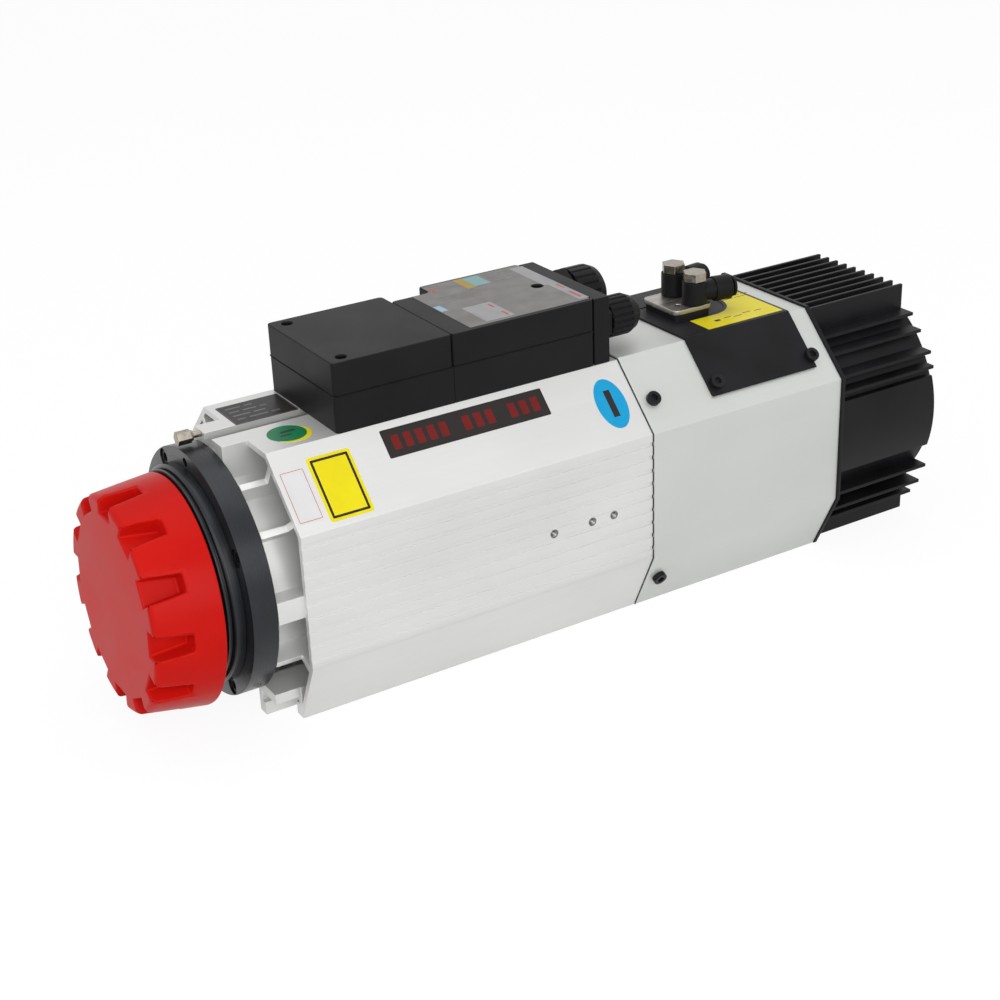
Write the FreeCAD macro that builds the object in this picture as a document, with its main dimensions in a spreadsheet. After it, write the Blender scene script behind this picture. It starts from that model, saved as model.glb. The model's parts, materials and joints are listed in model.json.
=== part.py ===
import FreeCAD, Part
import math
import os

import Sketcher

# Air-cooled motor spindle with automatic tool clamping, in millimetres.
# The spindle axis runs along X with the nose towards -X. The underside lies on z = 0
# and x = 0 is the front edge of the ribbed outer skin.

AXIS_HEIGHT = 76.5  # spindle axis above the underside
SKIN_LENGTH = 224.3  # motor housing skin along the axis
HALF_WIDTH = 75  # side faces from the middle plane
TOP_HEIGHT = 153.4  # top flat above the underside
TOP_HALF = 40  # half width of the top flat
SIDE_LOW = 39.3  # height where the lower slope begins
BOTTOM_HALF = 56  # half width of the underside
SKIN_WALL = 3.5  # outer skin thickness
GROOVE_COUNT = 9  # shallow grooves on each side face
GROOVE_PITCH = 8.3  # groove spacing
GROOVE_WIDTH = 2.4  # groove width
GROOVE_DEPTH = 0.7  # groove depth
GROOVE_START = 5.5  # lowest groove above the lower slope
NOSE_LENGTH = 15  # inner tube showing in front of the skin
TUBE_OUTER = 60  # inner tube outer radius
TUBE_BORE = 55  # inner tube bore radius
WEB_THICK = 4  # radial web thickness
SIDE_WEB_THICK = 13  # thickness of the web at axis height
WEB_REACH = 71.5  # radius of the webs in front of the skin
SLOT_MOUTH = 10  # top slot mouth width
SLOT_LIP = 4  # top slot lip depth
SLOT_CHAMBER = 19  # top slot chamber width
SLOT_DEPTH = 10.4  # top slot whole depth
SLOT_RAIL_HALF = 18  # half width of the rail that holds the top slot
BASE_SLOT_OFFSET = 45  # underside slots from the middle plane
BASE_MOUTH = 8  # underside slot mouth width
BASE_LIP = 8  # underside slot lip depth
BASE_CHAMBER = 15  # underside slot chamber width
BASE_DEPTH = 14  # underside slot whole depth
BASE_WALL = 4  # wall round the underside slot
SIDE_HOLE_RADIUS = 2.1  # tapped side hole radius
SIDE_HOLE_DEPTH = 11  # tapped side hole depth
SIDE_HOLE_DROP = 1.2  # tapped side holes below the axis
DRILL_POINT = 1.3  # depth of the drill point behind a tapped hole
REAR_LENGTH = 140.3  # rear housing length
REAR_STEP = 1.2  # rear housing stands out by this
REAR_WALL = 4  # rear housing wall
REAR_RIB = 10  # rib that carries the air cylinder
HOUSING_SCREW_X = 9  # housing screws behind the joint
HOUSING_SCREW_IN = 13.2  # upper housing screws in from the side
HOUSING_SCREW_LOW = 21  # height of the lower housing screws
FLANGE_RADIUS = 71  # front flange radius
FLANGE_THICK = 14.4  # front flange thickness
SPIGOT_LENGTH = 40  # front flange spigot into the tube
NOSE_BORE = 32  # bore round the spindle nose
BEARING_FRONT = -5  # front bearing seat starts here
BEARING_SHOULDER = 29  # bore of the shoulder in front of the bearings
BEARING_OUTER = 34  # front bearing outer radius
BEARING_BORE = 20  # front bearing bore radius
BEARING_WIDTH = 15  # one front bearing
BEARING_RING = 3  # half of the open gap between bearing rings
FLANGE_PITCH = 65.2  # flange mounting hole circle radius
FLANGE_HOLE = 3.3  # flange mounting hole radius
FLANGE_COUNTERBORE = 5.2  # counterbore radius
COUNTERBORE_DEPTH = 7  # counterbore depth
FLANGE_SMALL_HOLE = 2.7  # jacking hole radius
FLANGE_SCREW_HEAD = 4.8  # flange screw head radius
FLANGE_SCREW_HEIGHT = 6  # flange screw head height
FLANGE_SCREW_SHANK = 3  # flange screw shank radius
FLANGE_SCREW_SOCKET = 5  # flange screw socket across flats
COVER_RADIUS = 62  # bearing cover rear step radius
COVER_STEP = 60  # bearing cover middle step radius
COVER_BOSS = 52.3  # bearing cover front boss radius
COVER_THICK = 6.5  # bearing cover rear step thickness
COVER_MIDDLE = 2.8  # bearing cover middle step thickness
BOSS_LENGTH = 10.4  # bearing cover front boss length
CAP_REAR = 41.9  # cap rim ahead of the skin edge
CAP_RADIUS = 65.6  # cap rim radius
CAP_DROP = 6.8  # the loose cap hangs this much below the axis
CAP_TILT = 2.4  # the loose cap leans back by this angle
CAP_FRONT_RADIUS = 60.8  # cap front radius
CAP_LENGTH = 38  # cap length
CAP_WALL = 3.4  # cap wall
CAP_ROUND = 4  # cap front rounding
NOTCH_COUNT = 12  # finger notches
NOTCH_LENGTH = 21  # notch length from the front
NOTCH_FRONT = 14.4  # notch width at the front face
NOTCH_REAR = 9.8  # notch width at its closed end
NOTCH_DEPTH = 9  # notch depth below the front radius
NOSE_FACE = 66  # spindle nose face ahead of the skin edge
NOSE_RADIUS = 31.5  # spindle nose radius
GAUGE_RADIUS = 15.875  # taper radius at the nose face
TAPER_LENGTH = 48  # taper length
BORE_RADIUS = 9  # bore behind the taper
CHAMBER_RADIUS = 11.3  # release chamber radius
SPRING_BORE = 12.2  # spring chamber radius
SPRING_FRONT = 22  # spring chamber front end
KEY_WIDTH = 15.9  # drive key width
KEY_HEIGHT = 8  # drive key height
KEY_LENGTH = 11  # drive key radial length
ROTOR_SEAT = 21.5  # shaft radius in the rotor
ROTOR_FRONT = 54  # rotor and stator front end
STACK_LENGTH = 112  # rotor and stator length
ROTOR_RADIUS = 31  # rotor radius
AIR_GAP = 0.6  # gap between rotor and stator
STATOR_SLOTS = 24  # stator slots
WINDING_REACH = 17  # winding overhang
REAR_SEAT = 17.5  # shaft radius at the rear bearing
REAR_BEARING = 196  # rear bearing front face
REAR_BEARING_WIDTH = 14  # rear bearing width
REAR_BEARING_OUTER = 31  # rear bearing outer radius
SHAFT_END = 217  # shaft rear end
NUT_RADIUS = 28  # bearing lock nut radius
NUT_WIDTH = 9  # bearing lock nut width
ROD_RADIUS = 5.5  # drawbar rod radius
STUB_RADIUS = 4.6  # drawbar stub inside the claws
COLLAR_FRONT = 140  # drawbar collar front
COLLAR_WIDTH = 10  # drawbar collar width
PUSH_RADIUS = 8  # drawbar rear rod radius
DRAWBAR_END = 232  # drawbar rear end
CLAW_TIP = -8.5  # claw tip
CLAW_ROOT = 16  # claw root
CLAW_OUTER = 8.6  # claw outer radius at the tip
CLAW_NECK = 7.2  # claw outer radius behind the tip
CLAW_INNER = 5  # claw inner radius
CLAW_HOOK = 3.4  # claw hook inner radius
SPRING_PAIRS = 10  # disc spring pairs
PISTON_GAP = 1.5  # piston rod to drawbar at rest
PISTON_ROD = 11.5  # piston rod radius
PISTON_FRONT = 266  # piston disc front face
PISTON_THICK = 14  # piston disc thickness
CYLINDER_BORE = 50  # air cylinder bore
CYLINDER_OUTER = 57  # air cylinder outer radius
CYLINDER_FRONT = 244  # air cylinder front face
CYLINDER_LENGTH = 52  # air cylinder length
CYLINDER_CAP = 10  # air cylinder end wall
RUNNING_GAP = 0.08  # radial gap of a running fit
PLATE_THICK = 2.4  # shroud plate thickness
PLATE_STEP = 1.3  # shroud plate stands out by this
SHROUD_LENGTH = 79  # finned shroud length
SHROUD_OUTER = 71  # shroud tube outer radius
SHROUD_INNER = 67  # shroud tube inner radius
SHROUD_SIDE = 75  # shroud side wall radius
SHROUD_SIDE_HALF = 24  # half height of the side wall
FIN_COUNT = 10  # top fins
FIN_PITCH = 8.65  # top fin spacing
FIN_THICK = 2.2  # fin thickness
FIN_TOP = 153  # top fin tips
FIN_ROOT = 20  # side fins start this far from the middle plane
SHROUD_FOOT_IN = 10  # shroud feet in from the edge of the underside
FAN_FRONT = 392  # fan impeller front
FAN_WIDTH = 26  # fan impeller width
FAN_HUB = 30  # fan hub radius
FAN_TIP = 62.5  # fan blade tip radius
FAN_BLADES = 7  # fan blades
FAN_PITCH = 32  # fan blade angle
BLADE_THICK = 2.4  # fan blade thickness
BLADE_SPARE = 12  # blade slab runs past the sweep by this
FAN_MOTOR_RADIUS = 27  # fan motor radius
ARM_WIDTH = 8  # fan motor arm width
GUARD_RINGS = 6  # fan guard rings
GUARD_WIRE = 1.5  # fan guard wire radius
BOX_FRONT = 42.3  # terminal box front end
BOX_JOINT = 115.3  # joint between the two lids
BOX_PLATE_FRONT = 208.5  # gland plate front face
BOX_PLATE_END = 219  # gland plate rear face
BOX_HALF = 40  # terminal box half width
BOX_STEP_DEPTH = 11  # recess in the far side behind the lid joint
BOX_STEP_LENGTH = 25  # length of that recess
BOX_FLARE = 1.8  # far side stands out behind the recess
BOX_TOP = 193.2  # terminal box top
BOX_SPLIT = 174  # joint between box base and lids
BOX_WALL = 3  # terminal box wall
BOX_ROUND = 2.5  # terminal box corner rounding
GASKET_THICK = 0.5  # gasket thickness
GASKET_INSET = 0.2  # gasket in from the box sides
JOINT_GROOVE = 0.5  # groove in the box base under the lid joint
LID_SCREW_X = 51.5  # front lid screws along the axis
LID_SCREW_Y = 32.5  # front lid screws from the middle plane
REAR_SCREW_X = 196.2  # rear lid screw near the gland plate
SIDE_SCREW_X = 143  # rear lid screw behind the joint
SIDE_SCREW_Y = -31.7  # rear lid screw behind the joint from the middle plane
CABLE_WINDOW = 30  # half width of the window in the box end
SMALL_GLAND_Y = -20  # small gland from the middle plane
SMALL_GLAND_Z = 172.3  # small gland height
SMALL_GLAND_RADIUS = 12.2  # small gland nut radius
SMALL_GLAND_BORE = 4.5  # small gland cable bore radius
LARGE_GLAND_Y = 17  # large gland from the middle plane
LARGE_GLAND_Z = 176  # large gland height
LARGE_GLAND_RADIUS = 16.6  # large gland nut radius
LARGE_GLAND_BORE = 7.5  # large gland cable bore radius
GLAND_HEX = 8  # gland body hexagon length
GLAND_NUT = 22  # gland nut length
GLAND_RIBS = 20  # ribs round a gland nut
RIB_GROOVE = 0.7  # radius of the grooves between ribs
DOME_LENGTH = 8  # domed end of a gland nut
SHEET_FRONT = 272  # rear cover sheet front edge
SHEET_LENGTH = 79  # rear cover sheet length
SHEET_THICK = 1.5  # rear cover sheet thickness
SHEET_LOW = 128  # rear cover sheet lower edge
SHEET_SLOT = 17.5  # half width of the cut-out round the air block
WINDOW_FRONT = 281.5  # front edge of the window round the air block
WINDOW_LENGTH = 29.5  # straight part of that window
WINDOW_GAP = 0.4  # gap round the air block foot
FOOT_THICK = 1.2  # air block foot thickness
SHEET_SCREW_X = 6  # first sheet screw behind the front edge
SHEET_SCREW_PITCH = 72.2  # sheet screw spacing along the axis
SHEET_SCREW_IN = 12.4  # sheet screws in from the side
SHEET_SCREW_RISE = 1.5  # sheet screw heads above the housing face
BLOCK_FRONT = 283  # air block front face
BLOCK_LENGTH = 29  # air block length
BLOCK_HALF = 17  # air block half width
BLOCK_TOP = 160  # air block top
FITTING_PLATE = 3  # fitting plate thickness
BANJO_X = 302.5  # banjo bolts along the axis
BANJO_Y = 10.6  # banjo bolts from the middle plane
BANJO_RADIUS = 7.6  # banjo ring radius
BANJO_HEIGHT = 14  # banjo ring height
BANJO_HEX = 13  # banjo bolt hexagon across flats
BANJO_HEAD = 5.5  # banjo bolt head height
ARM_RADIUS = 6.4  # elbow arm radius
ARM_LENGTH = 23  # elbow arm length from the bolt axis
SLEEVE_RADIUS = 7.6  # thick end of the elbow arm
SLEEVE_LENGTH = 11  # length of that thick end
COLLAR_RADIUS = 6.2  # release collar rim radius
TUBE_RADIUS = 3  # push-in tube bore radius
NEAR_ARM_ANGLE = -12  # near elbow turned from the axis
FAR_ARM_ANGLE = 8  # far elbow turned from the axis
SCREW_HEAD = 4.25  # cap screw head radius
SCREW_HEIGHT = 3.2  # cap screw head height that shows
SCREW_SHANK = 2.5  # cap screw shank radius
SCREW_SOCKET = 2.3  # cap screw socket radius
SCREW_LENGTH = 9  # cap screw shank length
PLUG_Y = 10  # nose plug from the middle plane
PLUG_Z = 151.8  # nose plug height
PLUG_HEX = 7  # nose plug across flats
PLUG_HEAD = 8  # nose plug head length
PLUG_FRONT = 29  # nose plug head ahead of the skin edge
FLANGE_HOLE_TURN = -29  # flange holes turned from the top

SIDE_HOLES = (155.1, 181.2, 196.2)  # tapped side holes along the axis
# Tips of the side fins, y and z
SIDE_FINS = ((51, 136), (59, 127), (69, 115.5), (72, 106.5), (71, 38), (66, 25), (59, 15), (50, 7))

DOC = FreeCAD.newDocument("motor_spindle")
SHEET = DOC.addObject("Spreadsheet::Sheet", "Sizes")
PIECES = []
ALONG_X = FreeCAD.Rotation(FreeCAD.Vector(0, 1, 0), 90)
UPRIGHT = FreeCAD.Rotation()


class Size:
    """A length that knows its number and the sheet expression behind it."""

    def __init__(self, number, text):
        self.number = float(number)
        self.text = text

    def __float__(self):
        return self.number

    def __add__(self, other):
        return Size(self.number + float(other), "(%s + %s)" % (self.text, text_of(other)))

    def __sub__(self, other):
        return Size(self.number - float(other), "(%s - %s)" % (self.text, text_of(other)))

    def __mul__(self, other):
        return Size(self.number * float(other), "(%s * %s)" % (self.text, text_of(other)))

    def __truediv__(self, other):
        return Size(self.number / float(other), "(%s / %s)" % (self.text, text_of(other)))

    def __rsub__(self, other):
        return Size(float(other) - self.number, "(%s - %s)" % (text_of(other), self.text))

    def __neg__(self):
        return Size(-self.number, "(0 - %s)" % self.text)

    __radd__ = __add__
    __rmul__ = __mul__


class Sizes:
    """The driving sizes by name, read back from the sheet."""


S = Sizes()


def text_of(value):
    return value.text if isinstance(value, Size) else "(%.6f)" % float(value)


def fill_sheet():
    """Put each named size into the sheet and read it back with its expression."""
    named = [(name.lower(), number) for name, number in globals().items()
             if name.isupper() and isinstance(number, (int, float))]
    for row, (name, number) in enumerate(named, start=1):
        SHEET.set("A%d" % row, str(number))
        SHEET.setAlias("A%d" % row, name)
    DOC.recompute()
    for name, number in named:
        setattr(S, name, Size(SHEET.get(name), "Sizes." + name))


def tie(obj, **sizes):
    """Bind properties of an object to the sheet."""
    for prop, size in sizes.items():
        setattr(obj, prop, float(size))
        if isinstance(size, Size):
            obj.setExpression(prop, size.text)
    return obj


def place(obj, x=0, y=0, z=0, turn=UPRIGHT):
    obj.Placement = FreeCAD.Placement(FreeCAD.Vector(float(x), float(y), float(z)), turn)
    for letter, size in zip("xyz", (x, y, z)):
        if isinstance(size, Size):
            obj.setExpression("Placement.Base." + letter, size.text)
    return obj


def about_x(degrees):
    return FreeCAD.Rotation(FreeCAD.Vector(1, 0, 0), degrees)


def about_z(degrees):
    return FreeCAD.Rotation(FreeCAD.Vector(0, 0, 1), degrees)


def piece(label, obj):
    """Keep an object as a sub-part under its own name."""
    obj.Label = label
    PIECES.append(obj)
    return obj


# Basic shapes, each bound to the sheet

def rod(radius, length, x=0, y=0, z=0, turn=ALONG_X):
    obj = tie(DOC.addObject("Part::Cylinder", "Rod"), Radius=radius, Height=length)
    return place(obj, x, y, z, turn)


def axis_rod(radius, length, x):
    return rod(radius, length, x, 0, S.axis_height)


def taper(front_radius, rear_radius, length, x, y=0, z=None):
    obj = tie(DOC.addObject("Part::Cone", "Taper"), Radius1=front_radius, Radius2=rear_radius, Height=length)
    return place(obj, x, y, S.axis_height if z is None else z, ALONG_X)


def block(size_x, size_y, size_z, x, y, z, turn=UPRIGHT):
    obj = tie(DOC.addObject("Part::Box", "Block"), Length=size_x, Width=size_y, Height=size_z)
    return place(obj, x, y, z, turn)


def middle_block(size_x, size_y, size_z, x, y, z):
    """A block centred on y."""
    return block(size_x, size_y, size_z, x, y - size_y / 2, z)


def hexagon(across_flats, length, x, y, z, turn=ALONG_X):
    corner = across_flats / math.sqrt(3)
    obj = DOC.addObject("Part::Prism", "Hexagon")
    obj.Polygon = 6
    tie(obj, Circumradius=corner, Height=length)
    return place(obj, x, y, z, turn)


def fuse(*shapes):
    if len(shapes) == 1:
        return shapes[0]
    obj = DOC.addObject("Part::MultiFuse", "Fuse")
    obj.Shapes = list(shapes)
    return obj


def cut(base, *tools):
    obj = DOC.addObject("Part::Cut", "Cut")
    obj.Base = base
    obj.Tool = fuse(*tools)
    return obj


def common(base, tool):
    obj = DOC.addObject("Part::Common", "Common")
    obj.Base = base
    obj.Tool = tool
    return obj


def group(*shapes):
    obj = DOC.addObject("Part::Compound", "Group")
    obj.Links = list(shapes)
    return obj


def turned_about(shape, degrees, height):
    """A copy of a shape turned about the line along X at a height in the middle plane."""
    angle = math.radians(degrees)
    return place(group(shape), 0, height * math.sin(angle), height * (1 - math.cos(angle)), about_x(degrees))


def turned_about_axis(shape, degrees):
    return turned_about(shape, degrees, S.axis_height)


def around_axis(shape, count, start=0.0):
    return [turned_about_axis(shape, start + 360.0 * turn / count) for turn in range(count)]


def mirrored(shape):
    """A shape mirrored in the middle plane y = 0."""
    obj = DOC.addObject("Part::Mirroring", "Mirrored")
    obj.Source = shape
    obj.Normal = FreeCAD.Vector(0, 1, 0)
    return obj


def both_sides(shape):
    return [shape, mirrored(shape)]


def draw(body, plane_role, points):
    """A closed outline of straight lines in a sketch, every corner bound to the sheet."""
    sketch = body.newObject("Sketcher::SketchObject", "Outline")
    plane = [item for item in body.Origin.OriginFeatures if item.Role == plane_role][0]
    sketch.AttachmentSupport = [(plane, "")]
    sketch.MapMode = "FlatFace"
    spots = [FreeCAD.Vector(float(across), float(up), 0) for across, up in points]
    count = len(points)
    for index in range(count):
        sketch.addGeometry(Part.LineSegment(spots[index], spots[(index + 1) % count]))
    for index in range(count):
        following = (index + 1) % count
        sketch.addConstraint(Sketcher.Constraint("Coincident", index, 2, following, 1))
    for index, (across, up) in enumerate(points):
        pin_corner(sketch, index, "DistanceX", across, -2)
        pin_corner(sketch, index, "DistanceY", up, -1)
    return sketch


def pin_corner(sketch, index, kind, size, axis):
    if float(size) == 0:
        sketch.addConstraint(Sketcher.Constraint("PointOnObject", index, 1, axis))
        return
    number = sketch.addConstraint(Sketcher.Constraint(kind, -1, 1, index, 1, float(size)))
    if isinstance(size, Size):
        sketch.setExpression("Constraints[%d]" % number, size.text)


def lathe(points, x=0, z=None, y=0):
    """A piece turned about X. The points are pairs of place along the axis and radius."""
    body = DOC.addObject("PartDesign::Body", "Turned")
    sketch = draw(body, "XY_Plane", points)
    turn = body.newObject("PartDesign::Revolution", "Revolve")
    turn.Profile = sketch
    turn.ReferenceAxis = (sketch, ["H_Axis"])
    turn.Angle = 360
    return place(body, x, y, S.axis_height if z is None else z)


def bar(points, length, x=0):
    """A piece extruded along X. The points are pairs of y and z."""
    body = DOC.addObject("PartDesign::Body", "Extruded")
    sketch = draw(body, "YZ_Plane", points)
    pad = body.newObject("PartDesign::Pad", "Extrude")
    pad.Profile = sketch
    tie(pad, Length=length)
    return place(body, x)


def slab(points, height, z=0):
    """A piece extruded upwards. The points are pairs of x and y."""
    body = DOC.addObject("PartDesign::Body", "Slab")
    sketch = draw(body, "XY_Plane", points)
    pad = body.newObject("PartDesign::Pad", "Extrude")
    pad.Profile = sketch
    tie(pad, Length=height)
    return place(body, 0, 0, z)


def ring(outer, inner, length, x):
    return lathe([(0, inner), (length, inner), (length, outer), (0, outer)], x)


def mirror_outline(half):
    """Close a half outline, given for +y from bottom to top, by its mirror."""
    return list(half) + [(-across, up) for across, up in reversed(half)]


# Housing

def housing_outline(step, wall=0):
    """The eight-sided section, stood out by step and set in by wall."""
    inset = wall - step
    slope_turn = math.degrees(math.atan2(float(S.side_low), float(S.half_width - S.bottom_half)))
    top_share = math.tan(math.radians(22.5))
    foot_share = math.tan(math.radians(slope_turn / 2))
    side_share = math.tan(math.radians((90 - slope_turn) / 2))
    side_top = S.top_height - S.half_width + S.top_half
    return mirror_outline([
        (S.bottom_half - inset * foot_share, wall),
        (S.half_width - inset, S.side_low + inset * side_share),
        (S.half_width - inset, side_top - inset * top_share),
        (S.top_half - inset * top_share, S.top_height - inset),
    ])


def web(angle, thick, front, length):
    """A radial web of the housing; the angle is counted up from the -y side."""
    half = thick / 2
    blade = block(length, S.half_width * 1.6, thick, front, 0, S.axis_height - half)
    return turned_about_axis(blade, 180 - angle)


def air_webs(front, length):
    angles = [(58, S.web_thick), (35, S.web_thick), (0, S.side_web_thick), (-29, S.web_thick)]
    found = []
    for angle, thick in angles:
        found.append(web(angle, thick, front, length))
        found.append(web(180 - angle, thick, front, length))
    return found


def slot_rail(front, length):
    """The solid rail in the top of the housing that the slot is cut in."""
    height = S.top_height - S.axis_height - S.tube_outer + 4
    return middle_block(length, S.slot_rail_half * 2, height, front, 0, S.top_height - height)


def top_slot(front, length):
    mouth = middle_block(length, S.slot_mouth, S.slot_lip + 1, front, 0, S.top_height - S.slot_lip)
    depth = S.slot_depth - S.slot_lip
    low = S.top_height - S.slot_depth
    chamber = middle_block(length, S.slot_chamber, depth, front, 0, low)
    return fuse(mouth, chamber)


def base_rail(front, length):
    """The solid foot on one side that the underside slot is cut in."""
    inner = S.base_slot_offset - S.base_chamber / 2 - S.base_wall
    outer = S.base_slot_offset + S.base_chamber / 2 + S.base_wall
    return block(length, outer - inner, S.base_depth + S.base_wall + 2, front, inner, 0)


def base_slot(front, length):
    mouth = middle_block(length, S.base_mouth, S.base_lip + 1, front, S.base_slot_offset, -1)
    depth = S.base_depth - S.base_lip
    chamber = middle_block(length, S.base_chamber, depth, front, S.base_slot_offset, S.base_lip)
    return fuse(mouth, chamber)


def side_grooves():
    lowest = S.side_low + S.groove_start
    face = S.half_width - S.groove_depth
    found = []
    for turn in range(int(float(S.groove_count))):
        height = lowest + S.groove_pitch * turn
        found += both_sides(block(S.skin_length + 2, 5, S.groove_width, -1, face, height))
    return found


def side_holes():
    """Three tapped holes in the near side face, at uneven spacing, each with its drill point."""
    inward = about_x(-90)
    height = S.axis_height - S.side_hole_drop
    found = []
    for x in SIDE_HOLES:
        found.append(rod(S.side_hole_radius, S.side_hole_depth + 1, x, -S.half_width - 1, height, inward))
        point = tie(DOC.addObject("Part::Cone", "Point"), Radius1=S.side_hole_radius, Radius2=0,
                    Height=S.drill_point)
        found.append(place(point, x, S.side_hole_depth - S.half_width, height, inward))
    return found


def motor_housing():
    front = -S.nose_length
    whole = S.skin_length + S.nose_length
    hollow = bar(housing_outline(0, S.skin_wall), S.skin_length + 2, -1)
    skin = cut(bar(housing_outline(0), S.skin_length), hollow)
    tube = axis_rod(S.tube_outer, whole, front)
    nose_reach = axis_rod(S.web_reach, S.nose_length + 1, front)
    nose_webs = common(fuse(*air_webs(front, S.nose_length + 1)), nose_reach)
    inner_webs = common(fuse(*air_webs(0, S.skin_length)), bar(housing_outline(0), S.skin_length))
    feet = both_sides(base_rail(0, S.skin_length)) + both_sides(nose_foot(front))
    solid = fuse(skin, tube, nose_webs, inner_webs, slot_rail(front, whole), *feet)
    slots = [top_slot(front - 1, whole + 2)] + both_sides(base_slot(front - 1, whole + 2))
    bore = axis_rod(S.tube_bore, whole + 2, front - 1)
    return piece("motor_housing", cut(solid, bore, *(slots + side_grooves() + side_holes())))


def nose_foot(front):
    """The foot runs on under the nose, without its outer side."""
    inner = S.base_slot_offset - S.base_chamber / 2 - S.base_wall
    outer = S.bottom_half
    lip = block(S.nose_length + 1, S.base_slot_offset - inner, S.base_lip, front, inner, 0)
    post = block(S.nose_length + 1, S.base_wall, S.base_depth + 1, front, inner, 0)
    roof = block(S.nose_length + 1, outer - inner, S.base_wall + 2, front, inner, S.base_depth)
    return fuse(lip, post, roof)


def rear_housing():
    step = S.rear_step
    shell = cut(bar(housing_outline(step), S.rear_length, S.skin_length),
                bar(housing_outline(step, S.rear_wall), S.rear_length + 2, S.skin_length - 1))
    inside = bar(housing_outline(step, S.rear_wall / 2), S.cylinder_length, S.cylinder_front)
    low = S.axis_height - S.rear_rib / 2
    rib = block(S.cylinder_length, S.half_width * 1.5, S.rear_rib, S.cylinder_front, 0, low)
    ribs = common(fuse(*around_axis(rib, 4, 45)), inside)
    hole = axis_rod(S.cylinder_outer, S.rear_length + 2, S.skin_length - 1)
    tapped = [screw_hole(spot) for spot in housing_screw_spots() + sheet_screw_spots()]
    return piece("rear_housing", cut(fuse(shell, cut(ribs, hole)), *tapped))


# Screws that stand on the sloping faces

def slope_spot(x, y, z, tilt, rise):
    """A place on a sloping face, given for +y, with its outward turn about X and its lift."""
    return {"x": x, "y": y, "z": z, "tilt": tilt, "rise": rise}


def housing_screw_spots():
    x = S.skin_length + S.housing_screw_x
    reach = S.rear_step * math.sqrt(2)
    upper_y = S.half_width - S.housing_screw_in
    upper_z = S.top_height + S.top_half - upper_y + reach
    slope = (S.half_width - S.bottom_half) / S.side_low
    lower_z = S.housing_screw_low
    lower_y = S.bottom_half + S.rear_step * 1.1 + slope * lower_z
    lean = math.degrees(math.atan(float(slope)))
    return [slope_spot(x, upper_y, upper_z, 45, 0), slope_spot(x, lower_y, lower_z, 90 + lean, 0)]


def sheet_screw_spots():
    reach = S.rear_step * math.sqrt(2)
    y = S.half_width - S.sheet_screw_in
    z = S.top_height + S.top_half - y + reach
    first = S.sheet_front + S.sheet_screw_x
    rise = float(S.sheet_screw_rise)
    return [slope_spot(x, y, z, 45, rise) for x in (first, first + S.sheet_screw_pitch)]


def on_spot(maker, spot):
    """Stand a shape made along its own Z on a sloping face, on both sides."""
    turn = about_x(-spot["tilt"])
    angle = math.radians(spot["tilt"])
    found = []
    for lift, shape in maker(spot):
        y = spot["y"] + lift * math.sin(angle)
        z = spot["z"] + lift * math.cos(angle)
        found.append(place(shape, spot["x"], y, z, turn))
    return found


def screw_hole(spot):
    def hole(spot):
        deep = S.screw_length + 1
        shape = rod(S.screw_shank, deep + 3, turn=UPRIGHT)
        return [(-deep, shape)]
    return group(*both_sides(group(*on_spot(hole, spot))))


def cap_screw(spot):
    """A cap screw with its socket, standing on a spot."""
    def solid(spot):
        head = rod(S.screw_head, S.screw_height, turn=UPRIGHT)
        shank = rod(S.screw_shank - 0.01, S.screw_length + spot["rise"], turn=UPRIGHT)
        return [(spot["rise"], head), (-S.screw_length, shank)]

    def socket(spot):
        return [(spot["rise"] + S.screw_height - 2, hexagon(S.screw_socket * 1.73, 3, 0, 0, 0, UPRIGHT))]
    return cut(fuse(*on_spot(solid, spot)), *on_spot(socket, spot))


def screw_set(label, spots):
    screws = [shape for spot in spots for shape in both_sides(cap_screw(spot))]
    return piece(label, group(*screws))


# Front end

def hole_circle(radius, pitch, length, x, count, start):
    hole = rod(radius, length, x, 0, S.axis_height + pitch)
    return around_axis(hole, count, start)


def front_flange():
    rear = S.flange_thick
    end = rear + S.spigot_length
    shoulder = S.nose_length + S.flange_thick + S.bearing_front
    outline = [(0, S.nose_bore), (shoulder - 4, S.nose_bore), (shoulder - 4, S.bearing_shoulder),
               (shoulder, S.bearing_shoulder), (shoulder, S.bearing_outer), (end, S.bearing_outer),
               (end, S.tube_bore), (rear, S.tube_bore), (rear, S.flange_radius), (0, S.flange_radius)]
    front = -S.nose_length - S.flange_thick
    start = float(S.flange_hole_turn)
    holes = hole_circle(S.flange_hole, S.flange_pitch, S.flange_thick + 2, front - 1, 4, start)
    holes += hole_circle(S.flange_counterbore, S.flange_pitch, S.counterbore_depth + 1, front - 1, 4, start)
    holes += hole_circle(S.flange_small_hole, S.flange_pitch, S.flange_thick + 2, front - 1, 2, 0)
    return piece("front_flange", cut(lathe(outline, front), *holes))


def flange_screws():
    """Socket screws sunk in the counterbores of the flange."""
    height = S.axis_height + S.flange_pitch
    front = -S.nose_length - S.flange_thick
    seat = front + S.counterbore_depth
    head = rod(S.flange_screw_head, S.flange_screw_height, seat - S.flange_screw_height, 0, height)
    shank = rod(S.flange_screw_shank, S.flange_thick - S.counterbore_depth - 0.1, seat, 0, height)
    socket = hexagon(S.flange_screw_socket, S.flange_screw_height / 2 + 1,
                     seat - S.flange_screw_height - 1, 0, height)
    screw = cut(fuse(head, shank), socket)
    return piece("flange_screws", group(*around_axis(screw, 4, float(S.flange_hole_turn))))


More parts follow.
